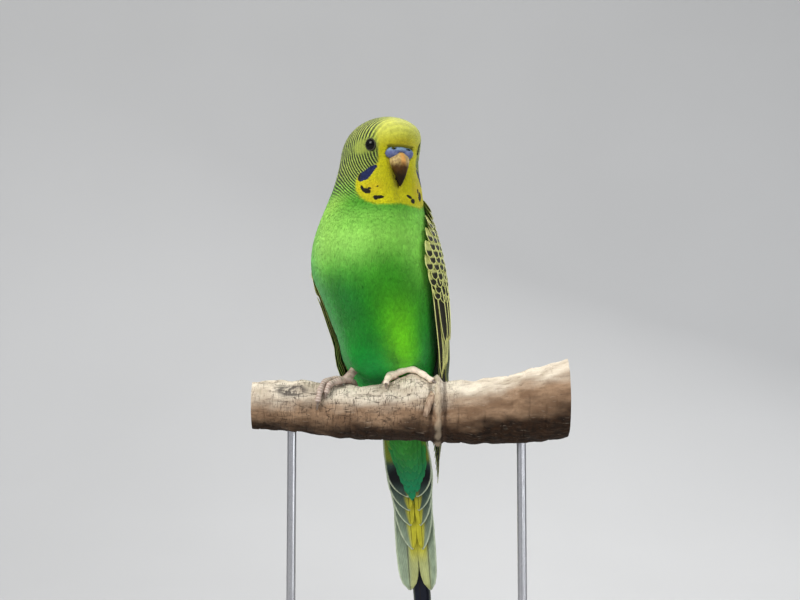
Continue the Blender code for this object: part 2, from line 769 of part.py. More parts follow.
def vane(name, path, across, out, halves, crown=VANE_CROWN):
    """A feather's vane: a closed strip with a low ridge along it, split alike on both faces."""
    points = []
    for middle, side, up, half in zip(path, across, out, halves):
        edge, ridge = VANE_EDGE / 2, VANE_THICK / 2
        droop = crown * half
        points += [
            middle + side * half + up * (edge - droop),
            middle + up * ridge,
            middle - side * half + up * (edge - droop),
            middle - side * half - up * (edge + droop),
            middle - up * ridge,
            middle + side * half - up * (edge + droop),
        ]
    faces = []
    for low in range(0, len(points) - 6, 6):
        high = low + 6
        for a, b in ((0, 1), (1, 2), (5, 4), (4, 3), (2, 3), (0, 5)):
            faces.append((low + a, low + b, high + b))
            faces.append((low + a, high + b, high + a))
    for first in (0, len(points) - 6):
        faces += [(first, first + 1, first + 5), (first + 1, first + 4, first + 5)]
        faces += [(first + 1, first + 2, first + 4), (first + 2, first + 3, first + 4)]
    return build_mesh(name, points, faces)


def wing_place(side, height, angle, tier):
    """A point over the wing. Angle runs from the front edge to the back on both wings."""
    angle = angle if side > 0 else 180.0 - angle
    lift = between(WING_LIFT, height)[0] + tier
    return coat_point(height, angle) + coat_normal(height, angle) * lift


def wing_feather(name, side, root, tip, tiers, half, tilt, stations):
    """One vane from root to tip, each given as a height and an angle."""
    path, across, out, halves = [], [], [], []
    step = 0.01
    for i in range(stations):
        t = i / (stations - 1)
        tier = blend(*tiers, t)
        places = []
        for at in (t - step, t + step):
            height, angle = blend(root[0], tip[0], at), blend(root[1], tip[1], at)
            places.append(wing_place(side, height, angle, tier))
        height, angle = blend(root[0], tip[0], t), blend(root[1], tip[1], t)
        ahead = (places[1] - places[0]).normalized()
        behind, before = (wing_place(side, height, angle + turn, tier) for turn in (1.0, -1.0))
        backward = behind - before
        backward = (backward - ahead * backward.dot(ahead)).normalized()
        up = ahead.cross(backward) * (1.0 if side < 0 else -1.0)
        lean = math.radians(tilt)
        path.append(wing_place(side, height, angle, tier))
        across.append(backward * math.cos(lean) - up * math.sin(lean))
        out.append(up * math.cos(lean) + backward * math.sin(lean))
        halves.append(half * between(WING_FEATHER_WIDTHS, t)[0])
    return vane(name, path, across, out, halves)


def wing_arm(side):
    """The wing's arm under its feathers: one smooth closed shell on the coat."""
    outer, inner = [], []
    for height, left_edge, right_edge, last, thick in WING_ARM:
        first = left_edge if side > 0 else right_edge
        for column in range(WING_COLUMNS + 1):
            t = column / WING_COLUMNS
            angle = blend(first, last, t)
            angle = angle if side > 0 else 180.0 - angle
            crown = blend(WING_ARM_EDGE, 1.0, math.sin(math.pi * t) ** WING_ARM_ROUND)
            out = coat_normal(height, angle)
            inner.append(coat_point(height, angle) + out * WING_CLEAR)
            outer.append(coat_point(height, angle) + out * (WING_CLEAR + thick * crown))
    wide = WING_COLUMNS + 1
    rows = len(WING_ARM)
    count = len(outer)
    faces = []
    for row in range(rows - 1):
        for column in range(WING_COLUMNS):
            a, b = row * wide + column, row * wide + column + 1
            c, d = b + wide, a + wide
            faces += [(a, b, c), (a, c, d)]
            faces += [(count + a, count + c, count + b), (count + a, count + d, count + c)]
    border = [*range(wide)]
    border += [row * wide + wide - 1 for row in range(1, rows)]
    border += [(rows - 1) * wide + column for column in range(wide - 2, -1, -1)]
    border += [row * wide for row in range(rows - 2, 0, -1)]
    for i, a in enumerate(border):
        b = border[(i + 1) % len(border)]
        faces += [(a, count + a, count + b), (a, count + b, b)]
    return build_mesh("arm", outer + inner, faces)


def make_wing(side, name, collection, finish):
    """A folded wing: its arm and five tracts of feathers. Side 1 is the left wing."""
    pieces = [wing_arm(side)]
    for tract, row in WING_TRACTS.items():
        count, root_heights, tip_heights, root_angles, tip_angles, tiers, half, tilt, stations = row
        for i in range(count):
            t = i / (count - 1)
            root = (blend(*root_heights, t), blend(*root_angles, t))
            tip = (blend(*tip_heights, t), blend(*tip_angles, t))
            pieces.append(wing_feather(f"{tract}{i}", side, root, tip, tiers, half, tilt, stations))
    wing = join(name, pieces, collection)
    cut(wing, [coat_cutter(TORSO_HEIGHTS), coat_cutter(TAIL_CORE_HEIGHTS)])
    wing.data.materials.clear()
    wing.data.materials.append(finish["wing"])


def tail_frame():
    down = Vector(TAIL_SLOPE).normalized()
    turn = math.radians(TAIL_TURN)
    left = Vector((math.cos(turn), math.sin(turn), 0.0))
    left = (left - down * left.dot(down)).normalized()
    root = Vector((TAIL_ROOT[0], PERCH_Y + TAIL_ROOT[1], TAIL_ROOT[2]))
    return root, down, left, left.cross(down)


def tail_feather(name, start, length, shifts, half, layers, stations):
    """A straight vane down the tail. Shifts are to the bird's left, and layers towards its back."""
    root, down, left, back = tail_frame()
    path, halves = [], []
    for i in range(stations):
        t = i / (stations - 1)
        ease = math.sin(math.pi / 2 * min(1.0, TAIL_SPREAD_SOON * t))
        middle = root + down * (start + (length - start) * t)
        path.append(middle + left * blend(*shifts, ease) + back * blend(*layers, ease))
        halves.append(half * between(TAIL_FEATHER_WIDTHS, t)[0])
    return vane(name, path, [left] * stations, [back] * stations, halves)


def make_tail(collection, finish):
    """The rump's end, twelve tail feathers in steps, and the coverts under and over them."""
    root, down, left, back = tail_frame()
    rings = [coat_ring(height) for height in TAIL_CORE_HEIGHTS]
    for along, half, depth in TAIL_CORE_END:
        middle = root + down * along
        ring = []
        for i in range(COAT_SIDES):
            a = 2 * math.pi * i / COAT_SIDES
            ring.append(middle + left * half * math.cos(a) + back * depth * math.sin(a))
        rings.append(ring)
    pieces = [loft("core", rings)]
    for i, (length, shift, half, layer) in enumerate(TAIL_FEATHERS):
        stations = TAIL_LONG_STATIONS if i < 2 else TAIL_STATIONS
        for side in (1, -1):
            lower = TAIL_LAYER_GAP if i == 0 and side < 0 else 0.0
            shifts = (side * TAIL_ROOT_SHIFT * (i + 1), side * shift)
            layers = ((layer - lower) * TAIL_ROOT_LAYER, layer - lower)
            name = f"rectrix{i}_{side}"
            pieces.append(tail_feather(name, 0.0, length, shifts, half, layers, stations))
    for i, (start, length, shift, half, layer) in enumerate(TAIL_COVERTS):
        shifts = (shift * COVERT_ROOT_SHIFT, shift)
        layers = (layer * COVERT_ROOT_LAYER, layer)
        name = f"tail_covert{i}"
        pieces.append(tail_feather(name, start, length, shifts, half, layers, COVERT_STATIONS))
    tail = join("tail", pieces, collection)
    tail.data.materials.clear()
    tail.data.materials.append(finish["tail"])


def main():
    clear_scene()
    bird = new_collection("budgerigar")
    finish = {name: material(name, *values) for name, values in FINISHES.items()}
    make_head(bird, finish)
    make_body(bird, finish)
    for side, name in ((1, "wing_l"), (-1, "wing_r")):
        make_wing(side, name, bird, finish)
    make_tail(bird, finish)
    make_perch(bird, finish)
    make_feet(bird, finish)
    make_stand(bird, finish)
    for obj in bird.objects:
        if obj.name != "stand_base":
            obj.data.shade_smooth()
        obj.data.set_sharp_from_angle(angle=math.radians(SHARP_ANGLE))


main()
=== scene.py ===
"""A life-size budgerigar on a cut branch, dressed: skin, feathers, bill, eyes, feet, bark and stand.

Lengths are in millimetres until a mesh is written in metres. +Z is up, the bird looks towards -Y,
and +X is the side of its left wing.
"""

import math

import bpy
import numpy as np
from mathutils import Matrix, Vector
from mathutils.bvhtree import BVHTree


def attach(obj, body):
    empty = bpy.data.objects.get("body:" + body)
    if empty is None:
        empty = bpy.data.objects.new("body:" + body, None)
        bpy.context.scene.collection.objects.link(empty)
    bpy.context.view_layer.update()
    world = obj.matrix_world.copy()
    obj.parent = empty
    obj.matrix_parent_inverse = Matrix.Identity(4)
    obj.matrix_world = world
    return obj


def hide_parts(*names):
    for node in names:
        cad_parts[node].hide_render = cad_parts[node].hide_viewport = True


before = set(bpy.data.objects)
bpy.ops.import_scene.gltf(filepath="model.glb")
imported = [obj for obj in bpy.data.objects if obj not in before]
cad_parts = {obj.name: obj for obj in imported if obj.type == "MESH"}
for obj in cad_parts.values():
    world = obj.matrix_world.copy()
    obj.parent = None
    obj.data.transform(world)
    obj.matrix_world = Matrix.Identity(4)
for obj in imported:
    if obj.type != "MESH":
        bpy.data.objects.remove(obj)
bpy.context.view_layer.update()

MM = 0.001
draw = np.random.default_rng(11)

# The coat's outer form: height, middle x, middle y from the perch, half width, front, back, turn
PERCH_Y = -15.0
COAT = (
    (60, 5.2, 32.6, 7.6, 2.6, 2.6, -10), (68, 4.6, 30.0, 8.0, 2.9, 2.9, -10),
    (76, 4.0, 27.4, 8.2, 3.7, 3.5, -10), (84, 3.3, 24.8, 8.5, 5.0, 4.8, -10),
    (92, 2.2, 22.2, 9.2, 6.6, 6.8, -11), (98, 1.2, 20.8, 10.3, 8.0, 8.8, -12),
    (103, 0.2, 19.4, 11.6, 8.6, 10.8, -12), (108, -1.2, 17.0, 13.2, 9.8, 13.4, -12),
    (113, -2.9, 13.5, 14.9, 13.5, 16.6, -12), (118, -3.8, 10.2, 16.6, 18.0, 19.2, -12),
    (124, -4.2, 7.4, 17.4, 21.4, 20.6, -12), (131, -5.4, 5.2, 18.9, 23.4, 21.0, -12),
    (139, -6.9, 3.0, 20.5, 24.4, 20.6, -12), (147, -8.9, 1.0, 22.0, 24.4, 19.8, -12),
    (156, -9.6, -1.0, 21.3, 23.0, 18.4, -11), (164, -9.4, -2.8, 19.3, 20.2, 17.0, -6),
    (171, -8.7, -4.4, 17.1, 17.0, 15.9, 3), (177, -7.9, -5.2, 15.5, 15.0, 15.2, 14),
    (182, -7.6, -5.6, 14.3, 14.0, 14.6, 22), (186, -7.4, -5.8, 13.6, 15.0, 14.2, 25),
    (190, -7.1, -5.8, 13.2, 17.6, 13.8, 26), (193.5, -6.5, -5.8, 12.6, 18.1, 13.2, 26),
    (196.5, -5.9, -5.8, 11.3, 16.5, 12.0, 26), (199, -5.5, -5.8, 9.0, 12.7, 9.6, 26),
    (200.8, -5.1, -5.8, 6.3, 8.2, 6.6, 26), (201.9, -4.9, -5.8, 3.2, 4.0, 3.4, 26),
)
CROWN = 202.4
THIGHS = ((3.4, -0.5, 124.0), (-12.4, 2.0, 122.4))
THIGH_RADII = (7.2, 10.5, 10.2)
THIGH_TURN = -12.0

# Head
HEAD_X, HEAD_Y, HEAD_TURN = -6.6, -5.8, 26.0
EYE_HEIGHT, EYE_ANGLE, EYE_RADIUS, EYE_OPENING = 189.7, 45.0, 2.9, 2.0

# Perch: x, height, y, radius
PERCH_LINE = (
    (-52.0, 101.6, 6.0, 8.3), (-35.0, 100.9, 4.0, 9.1), (-17.5, 99.0, 2.0, 9.5),
    (0.0, 98.8, 0.0, 10.0), (14.0, 98.6, -1.6, 10.7), (35.0, 99.5, -4.2, 11.6),
    (51.0, 101.6, -6.2, 13.2), (58.0, 103.0, -7.0, 13.4),
)
KNOT_X, KNOT_HEIGHT, KNOT_LENGTH, KNOT_ARC = 4.0, 3.6, 6.5, 30.0
RING_X, RING_HEIGHT, RING_LENGTH = 13.0, 0.8, 2.0


def rgb(red, green, blue):
    """A display colour, 0 to 255, as the linear colour that the shaders take."""
    values = np.array((red, green, blue)) / 255.0
    return np.where(values <= 0.04045, values / 12.92, ((values + 0.055) / 1.055) ** 2.4)


def between(table, at):
    """The rest of a table's row at this place, on a smooth curve through its rows."""
    rows = sorted(table)
    at = min(max(at, rows[0][0]), rows[-1][0])
    i = next(i for i in range(len(rows) - 1) if at <= rows[i + 1][0])
    low, high = rows[i], rows[i + 1]
    before, after = rows[max(i - 1, 0)], rows[min(i + 2, len(rows) - 1)]
    span = high[0] - low[0]
    t = (at - low[0]) / span
    values = []
    for k in range(1, len(low)):
        rise_low = (high[k] - before[k]) / (high[0] - before[0]) * span
        rise_high = (after[k] - low[k]) / (after[0] - low[0]) * span
        values.append(
            low[k] * (2 * t**3 - 3 * t**2 + 1) + rise_low * (t**3 - 2 * t**2 + t)
            + high[k] * (3 * t**2 - 2 * t**3) + rise_high * (t**3 - t**2)
        )
    return values


def sampled(table, step=0.05):
    """A table's smooth curve, sampled closely for read()."""
    places = np.arange(min(table)[0], max(table)[0] + step / 2, step)
    return places, np.array([between(table, place) for place in places])


def read(samples, at):
    places, values = samples
    return [np.interp(at, places, values[:, i]) for i in range(values.shape[1])]


def ease(low, high, at):
    """0 at low, 1 at high, smooth between and flat beyond them."""
    t = np.clip((at - low) / (high - low), 0.0, 1.0)
    return t * t * (3 - 2 * t)


def blend(first, second, share):
    share = np.asarray(share)[..., None]
    return first * (1 - share) + second * share


def bump_at(height, u, h0, u0, tall, wide):
    """1 at a place, falling smoothly to 0 around it."""
    return np.exp(-(((height - h0) / tall) ** 2) - ((u - u0) / wide) ** 2)


def unit(vectors):
    return vectors / np.maximum(np.linalg.norm(vectors, axis=-1, keepdims=True), 1e-9)


def turned(degrees):
    """The axes across, along and up of a frame turned round +Z."""
    c, s = math.cos(math.radians(degrees)), math.sin(math.radians(degrees))
    return np.array(((c, s, 0.0), (-s, c, 0.0), (0.0, 0.0, 1.0)))


COAT_SAMPLES = sampled(COAT)
PERCH_SAMPLES = sampled(PERCH_LINE)


def coat(height, angle):
    """Points of the coat. Angle 0 is the bird's left, 90 its back, 180 its right, 270 its front."""
    height, angle = np.broadcast_arrays(np.asarray(height, float), np.asarray(angle, float))
    x, y, half, front, back, turn = read(COAT_SAMPLES, height)
    around, turn = np.radians(angle), np.radians(turn)
    across = np.cos(around) * half
    along = np.sin(around) * np.where(np.sin(around) > 0, back, front)
    px = x + across * np.cos(turn) - along * np.sin(turn)
    py = PERCH_Y + y + across * np.sin(turn) + along * np.cos(turn)
    return np.stack((px, py, height), axis=-1)


def coat_normal(height, angle):
    height, angle = np.broadcast_arrays(np.asarray(height, float), np.asarray(angle, float))
    around = coat(height, angle + 0.5) - coat(height, angle - 0.5)
    up = coat(height + 0.5, angle) - coat(height - 0.5, angle)
    return unit(np.cross(around, up))


def coat_angle(points):
    """The angle round the coat at which points lie."""
    x, y, half, front, back, turn = read(COAT_SAMPLES, points[..., 2])
    turn = np.radians(turn)
    dx, dy = points[..., 0] - x, points[..., 1] - PERCH_Y - y
    across = dx * np.cos(turn) + dy * np.sin(turn)
    along = -dx * np.sin(turn) + dy * np.cos(turn)
    depth = np.where(along > 0, back, front)
    return np.degrees(np.arctan2(along / depth, across / half)) % 360.0


def head_point(side, forward, height):
    """Points of the head, from how far to the bird's left and how far forward they lie."""
    c, s = math.cos(math.radians(HEAD_TURN)), math.sin(math.radians(HEAD_TURN))
    x, y = HEAD_X + side * c + forward * s, PERCH_Y + HEAD_Y + side * s - forward * c
    return np.stack(np.broadcast_arrays(x, y, height), axis=-1)


def head_places(points):
    """How far to the bird's left, and how far forward, points of the head lie."""
    c, s = math.cos(math.radians(HEAD_TURN)), math.sin(math.radians(HEAD_TURN))
    x, y = points[..., 0] - HEAD_X, points[..., 1] - PERCH_Y - HEAD_Y
    return x * c + y * s, x * s - y * c


def thigh_swell(points, normals):
    """How far out along each normal the thighs push the coat."""
    swell = np.zeros(len(points))
    axes = turned(THIGH_TURN).T / THIGH_RADII
    for x, y, z in THIGHS:
        start, way = (points - (x, PERCH_Y + y, z)) @ axes, normals @ axes
        a, b, c = (way**2).sum(-1), 2 * (start * way).sum(-1), (start**2).sum(-1) - 1
        root = b * b - 4 * a * c
        far = np.where(root > 0, (-b + np.sqrt(np.maximum(root, 0))) / (2 * a), -9.0)
        swell = np.maximum(swell, np.clip(far, 0.0, 6.0))
    return swell


def grid_faces(rows, columns, closed=False):
    """Quads of a grid of points, row by row; closed joins the last column to the first."""
    last = columns if closed else columns - 1
    row, column = np.meshgrid(np.arange(rows - 1) * columns, np.arange(last), indexing="ij")
    right = (column + 1) % columns
    quads = (row + column, row + right, row + columns + right, row + columns + column)
    return np.stack([q.ravel() for q in quads], axis=-1)


def mesh_object(name, points, faces, slot, material, nodes=(), uv=None, numbers=None, paint=None):
    """A piece from arrays: points in millimetres, faces as arrays of three or four corners."""
    mesh = bpy.data.meshes.new(name)
    counts = np.concatenate([np.full(len(part), part.shape[1]) for part in faces])
    corners = np.concatenate([part.ravel() for part in faces]).astype(np.int32)
    mesh.vertices.add(len(points))
    mesh.vertices.foreach_set("co", (points * MM).astype(np.float32).ravel())
    mesh.loops.add(len(corners))
    mesh.loops.foreach_set("vertex_index", corners)
    mesh.polygons.add(len(counts))
    starts = np.concatenate(([0], np.cumsum(counts)[:-1])).astype(np.int32)
    mesh.polygons.foreach_set("loop_start", starts)
    mesh.update(calc_edges=True)
    if uv is not None:
        layer = mesh.uv_layers.new(name="OFBake")
        layer.uv.foreach_set("vector", uv[corners].astype(np.float32).ravel())
    for key, values in (numbers or {}).items():
        made = mesh.attributes.new(key, "FLOAT", "POINT")
        made.data.foreach_set("value", values.astype(np.float32).ravel())
    if paint is not None:
        colours = mesh.color_attributes.new(name="paint", type="FLOAT_COLOR", domain="POINT")
        full = np.concatenate((paint, np.ones((len(paint), 1))), axis=1)
        colours.data.foreach_set("color", full.astype(np.float32).ravel())
    mesh.shade_smooth()
    mesh.materials.append(material)
    made = bpy.data.objects.new(name, mesh)
    bpy.context.scene.collection.objects.link(made)
    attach(made, "root")
    if nodes:
        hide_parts(*nodes)
    return made


# Materials

EVEN = (1.0, 1.0, 1.0)
LONG_BARBS = (1.0, 1.0, 0.4)


class Value:
    """A shader socket that takes part in sums."""

    def __init__(self, shader, socket):
        self.shader, self.socket = shader, socket

    def op(self, operation, other=None):
        node = self.shader.node("Math", operation=operation)
        self.shader.give(node.inputs[0], self)
        self.shader.give(node.inputs[1], other)
        return Value(self.shader, node.outputs[0])

    def __add__(self, other):
        return self.op("ADD", other)

    def __sub__(self, other):
        return self.op("SUBTRACT", other)

    def __mul__(self, other):
        return self.op("MULTIPLY", other)

    def __truediv__(self, other):
        return self.op("DIVIDE", other)

    def __abs__(self):
        return self.op("ABSOLUTE")

    def ramp(self, low, high, to_low=0.0, to_high=1.0):
        """Smooth from to_low to to_high while the value goes from low to high."""
        node = self.shader.node("MapRange", interpolation_type="SMOOTHSTEP")
        keys = ("Value", "From Min", "From Max", "To Min", "To Max")
        for key, given in zip(keys, (self, low, high, to_low, to_high)):
            self.shader.give(node.inputs[key], given)
        return Value(self.shader, node.outputs["Result"])


class Shader:
    """A small helper that builds a Principled material's nodes."""

    def __init__(self, name, roughness, specular, metallic=0.0):
        self.material = bpy.data.materials.new(name)
        self.material.use_nodes = True
        self.tree = self.material.node_tree
        self.inputs = self.tree.nodes["Principled BSDF"].inputs
        self.put("Roughness", roughness)
        self.put("Specular IOR Level", specular)
        self.put("Metallic", metallic)
        self.coords = self.node("TexCoord").outputs["Object"]

    def node(self, kind, **settings):
        made = self.tree.nodes.new("ShaderNode" + kind)
        for key, value in settings.items():
            setattr(made, key, value)
        return made

    def give(self, socket, value):
        if isinstance(value, Value):
            self.tree.links.new(value.socket, socket)
        elif value is not None:
            if hasattr(socket.default_value, "__len__") and len(socket.default_value) == 4:
                value = (*value, 1.0)
            socket.default_value = value

    def put(self, key, value):
        self.give(self.inputs[key], value)

    def number(self, name):
        """A number that the mesh carries at each point."""
        return Value(self, self.node("Attribute", attribute_name=name).outputs["Fac"])

    def paint(self):
        return Value(self, self.node("Attribute", attribute_name="paint").outputs["Color"])

    def mix(self, amount, first, second):
        node = self.node("Mix", data_type="RGBA")
        self.give(node.inputs["Factor"], amount)
        self.give(node.inputs[6], first)
        self.give(node.inputs[7], second)
        return Value(self, node.outputs[2])

    def shaded(self, colour, share):
        node = self.node("VectorMath", operation="SCALE")
        self.give(node.inputs[0], colour)
        self.give(node.inputs["Scale"], share)
        return Value(self, node.outputs["Vector"])

    def texture(self, kind, size, stretch):
        """A texture in object coordinates, whose lumps are about size millimetres across."""
        mapping = self.node("Mapping")
        self.tree.links.new(self.coords, mapping.inputs["Vector"])
        mapping.inputs["Scale"].default_value = stretch
        node = self.node(kind)
        self.tree.links.new(mapping.outputs["Vector"], node.inputs["Vector"])
        node.inputs["Scale"].default_value = 1.0 / (size * MM)
        return node

    def noise(self, size, stretch=EVEN, detail=3.0, rough=0.5):
        node = self.texture("TexNoise", size, stretch)
        node.inputs["Detail"].default_value = detail
        node.inputs["Roughness"].default_value = rough
        return Value(self, node.outputs["Fac"])

    def cells(self, size):
        return Value(self, self.texture("TexVoronoi", size, EVEN).outputs["Distance"])

    def mottle(self, first, second, size, stretch=EVEN, low=0.35, high=0.65):
        """Two colours in patches."""
        return self.mix(self.noise(size, stretch).ramp(low, high), first, second)

    def bump(self, height, depth, strength):
        """Bump, with its depth in millimetres."""
        node = self.node("Bump")
        node.inputs["Strength"].default_value = strength
        node.inputs["Distance"].default_value = depth * MM
        self.give(node.inputs["Height"], height)
        self.tree.links.new(node.outputs["Normal"], self.inputs["Normal"])


def plumage(name, marked=False):
    """Small soft feathers: painted ground and fine barbs, and the head's dark marks if marked."""
    s = Shader(name, 0.75, 0.2)
    along, across = s.number("along"), s.number("across")
    barbs = (abs(across) * 26.0 + along * -34.0).op("SINE")
    patch = s.noise(5.0, (1.0, 1.0, 0.55)).ramp(0.36, 0.66, 0.92, 1.08)
    grain = s.noise(0.9, LONG_BARBS).ramp(0.3, 0.7, 0.94, 1.05)
    shade = patch * grain * barbs.ramp(-1.0, 1.0, 0.94, 1.04) * along.ramp(0.35, 1.0, 0.94, 1.04)
    colour = s.shaded(s.paint(), shade)
    s.put("Base Color", head_marks(s, colour) if marked else colour)
    s.put("Sheen Weight", 0.12)
    s.put("Sheen Roughness", 0.5)
    s.bump(barbs, 0.03, 0.5)
    return s.material


def head_marks(s, colour):
    """Bars, cheek patches and throat spots over a ground colour."""
    arc, level = s.number("arc"), s.number("level")
    phase = s.number("phase") + (s.noise(1.2) - 0.5) * 0.5
    line = (phase * (2 * math.pi)).op("SINE").ramp(-0.55, 0.1) * s.number("barred")
    colour = s.mix(line, colour, s.mix(level.ramp(174.0, 184.0), BAR_LOW, BAR_DARK))
    ragged = (s.noise(0.5) - 0.5) * 0.7
    tone = s.mix(abs(arc).ramp(13.2, 14.4), CHEEK, BLACK)
    tone = s.mix(s.noise(0.6, LONG_BARBS).ramp(0.4, 0.75, 0.0, 0.5), tone, CHEEK_LIGHT)
    colour = s.mix((s.number("cheek") + ragged).ramp(-0.15, 0.2), colour, tone)
    nearest = None
    for degrees, height, wide, tall, turn in SPOTS:
        c, n = math.cos(math.radians(turn)), math.sin(math.radians(turn))
        du, dh = arc - face_arc(degrees, height), level - height
        over, up = (du * c + dh * n) / wide, (dh * c - du * n) / tall
        far = (over * over + up * up).op("SQRT")
        nearest = far.op("MINIMUM", nearest) if nearest else far
    return s.mix((nearest + ragged).ramp(1.15, 0.85), colour, BLACK)


def vane_material(name, rim, rim_width, soft, gloss):
    """A firm feather: painted middle, a paler rim of even width, barbs and a shaft."""
    s = Shader(name, gloss, 0.2)
    along, across = s.number("along"), s.number("across")
    barbs = (abs(across) * 30.0 + along * -150.0).op("SINE")
    edge = s.number("edge") + (s.noise(0.8) - 0.5) * 0.25
    rim_share = edge.ramp(rim_width - soft, rim_width + soft, 1.0, 0.0) * s.number("rimmed")
    colour = s.mix(rim_share, s.paint(), rim)
    colour = s.mix(abs(across).ramp(0.03, 0.09, 0.6, 0.0), colour, SHAFT)
    grain = s.noise(1.5, (1.0, 1.0, 0.3)).ramp(0.3, 0.7, 0.85, 1.12)
    s.put("Base Color", s.shaded(colour, grain * barbs.ramp(-1.0, 1.0, 0.93, 1.05)))
    s.bump(barbs, 0.04, 0.5)
    return s.material


def scallop_material():
    """Small wing feathers: a pale rim, a black crescent inside it, and a pale base."""
    s = Shader("scallops", 0.6, 0.25)
    along, across = s.number("along"), s.number("across")
    wander = (s.noise(0.7) - 0.5) * 0.28
    dark = (s.number("edge") + wander).ramp(0.4, 0.58)
    dark = dark * (along + wander * 0.15).ramp(0.52, 0.64, 0.28, 1.0)
    colour = s.mix(dark, s.mottle(RIM, RIM_DEEP, 1.4), SCALLOP_DARK)
    barbs = (abs(across) * 14.0 + along * -60.0).op("SINE")
    s.put("Base Color", s.mix(barbs.ramp(-1.0, 1.0, 0.0, 0.16), colour, SCALLOP_BARB))
    s.bump(barbs, 0.03, 0.5)
    return s.material


# Colours of the coat

# The first yellow is the mask's own yellow, darkened all over for the shade under the bill: partly
# painted shade.
SHADED_MASK_YELLOW, PALE_YELLOW = rgb(195, 190, 5), rgb(196, 198, 78)
ROOT_YELLOW, CHIN_YELLOW, EDGE_YELLOW = rgb(176, 150, 22), rgb(206, 160, 20), rgb(150, 170, 40)
OLIVE, CERE_SHADE, LIMB_SHADE = rgb(146, 158, 62), rgb(58, 66, 16), rgb(66, 62, 22)
BILL_SHADE = rgb(150, 128, 44)
BAR_GROUND, CROWN_GROUND = rgb(152, 172, 76), rgb(172, 184, 78)
BAR_LOW, BAR_DARK = rgb(44, 60, 22), rgb(38, 46, 18)
CHEEK, CHEEK_LIGHT, BLACK = rgb(18, 28, 72), rgb(40, 54, 112), rgb(22, 20, 8)
# The first of these is a mint tone laid on the bird's right side, which faces the key lamp: painted
# light.
LIT_SIDE_GREEN, RUMP_GREEN = rgb(92, 196, 112), rgb(60, 160, 70)
DARK, DARK_GREEN, SHAFT = rgb(30, 30, 18), rgb(40, 58, 26), rgb(30, 24, 18)
RIM, RIM_DEEP, FLIGHT_RIM = rgb(224, 226, 142), rgb(198, 204, 116), rgb(206, 212, 128)
SCALLOP_DARK, SCALLOP_BARB = rgb(24, 24, 14), rgb(70, 74, 34)
# Green down the body: height, and the tone in front
GREENS = (
    # The tone at 112 is brightened to make up for the shade that falls under the belly: painted light.
    (66.0, rgb(52, 150, 88)), (100.0, rgb(30, 128, 84)), (112.0, rgb(2, 214, 66)),
    (122.0, rgb(8, 140, 34)), (134.0, rgb(18, 126, 12)), (144.0, rgb(36, 132, 18)),
    (152.0, rgb(98, 182, 58)), (158.0, rgb(145, 206, 84)), (163.0, rgb(132, 198, 76)),
    (170.0, rgb(68, 150, 28)), (177.0, rgb(118, 190, 66)), (186.0, rgb(128, 180, 80)),
)
# Soft patches on it: tone, share, height, angle from the front, reach up and round, and lean.
# The second table's lie over the side's green, which is painted light.
LOW_PATCHES = (
    (rgb(122, 226, 20), 0.85, 125.0, 32.0, 20.0, 19.0, 0.0),
    (rgb(34, 124, 8), 0.85, 146.0, 30.0, 12.0, 26.0, 0.0),
    (rgb(24, 112, 46), 0.6, 139.0, -22.0, 9.0, 20.0, 0.0),
    (rgb(10, 130, 84), 0.5, 112.0, -12.0, 7.0, 26.0, 0.0),
    (rgb(12, 120, 52), 0.5, 116.0, 62.0, 12.0, 12.0, 0.0),
)
HIGH_PATCHES = (
    # Painted highlight on the upper breast.
    (rgb(150, 208, 100), 0.45, 157.0, -14.0, 5.0, 24.0, 0.0),
    (rgb(150, 236, 90), 0.6, 160.0, 64.0, 12.0, 18.0, 0.0),
    # Painted light on the bird's right side, which faces the key lamp.
    (rgb(190, 240, 120), 0.25, 157.0, -46.0, 7.0, 16.0, 0.0),
    # Painted shadow in the crease between the left flank and the belly.
    (rgb(10, 86, 22), 0.55, 118.0, 19.0, 4.5, 5.0, 0.35),
    # Painted light on the right of the neck, on the key lamp's side.
    (rgb(184, 232, 96), 0.55, 170.0, -62.0, 7.0, 24.0, 0.0),
)
# The mask's edge and the cheek patch: degrees from the bill's midline, and height
MASK_EDGE = (
    (-30.0, 168.9), (-14.0, 169.2), (0.0, 169.6), (14.0, 169.2), (33.0, 168.8), (46.0, 169.8),
    (57.0, 171.4), (65.0, 174.0), (66.0, 177.2), (61.5, 179.8), (54.0, 180.6), (45.6, 181.8),
    (37.0, 182.8), (32.5, 183.8), (31.5, 187.1), (33.5, 192.2), (31.5, 195.0), (24.0, 198.3),
    (14.0, 200.2), (0.0, 201.0), (-30.0, 201.0),
)
CHEEK_EDGE = (
    (36.5, 183.0), (33.4, 182.3), (38.0, 180.9), (43.0, 179.0), (47.0, 177.7), (53.0, 177.4),
    (58.0, 177.0), (62.0, 177.6), (63.0, 179.0), (60.0, 180.2), (53.0, 180.9), (45.6, 182.1),
)
# Dark throat spots: degrees, height, half width, half height, turn
SPOTS = (
    (-49.8, 174.5, 0.6, 1.3125, 24.0), (-44.5, 173.7, 1.62, 0.975, -12.0),
    (-41.0, 174.6, 0.6, 0.4, 0.0), (-31.0, 175.2, 0.312, 0.25, 0.0),
    (-32.6, 171.2, 0.792, 0.875, 20.0), (-27.4, 171.4, 1.44, 0.625, 6.0),
    (14.6, 172.2, 1.14, 0.55, -26.0), (20.4, 170.9, 0.96, 0.825, 10.0),
    (33.0, 174.8, 0.54, 0.825, 10.0), (38.0, 173.2, 1.2, 1.75, -12.0),
)
BAR_CENTRE, BAR_PITCH, BAR_LIFT_BEHIND = head_point(0.0, 12.0, 189.2), 0.8, 6.5


def face_arc(degrees, height):
    """The arc from the bill's midline at which a face angle lies on the coat, in millimetres."""
    side, forward = head_places(coat(height, np.arange(0.0, 360.0, 0.5)))
    nearest = np.argmin(np.abs(np.degrees(np.arctan2(side, forward)) - degrees))
    return math.radians(degrees) * math.hypot(side[nearest], forward[nearest])


MASK_OUTLINE = [(face_arc(*place), place[1]) for place in MASK_EDGE]
CHEEK_OUTLINE = [(face_arc(*place), place[1]) for place in CHEEK_EDGE]


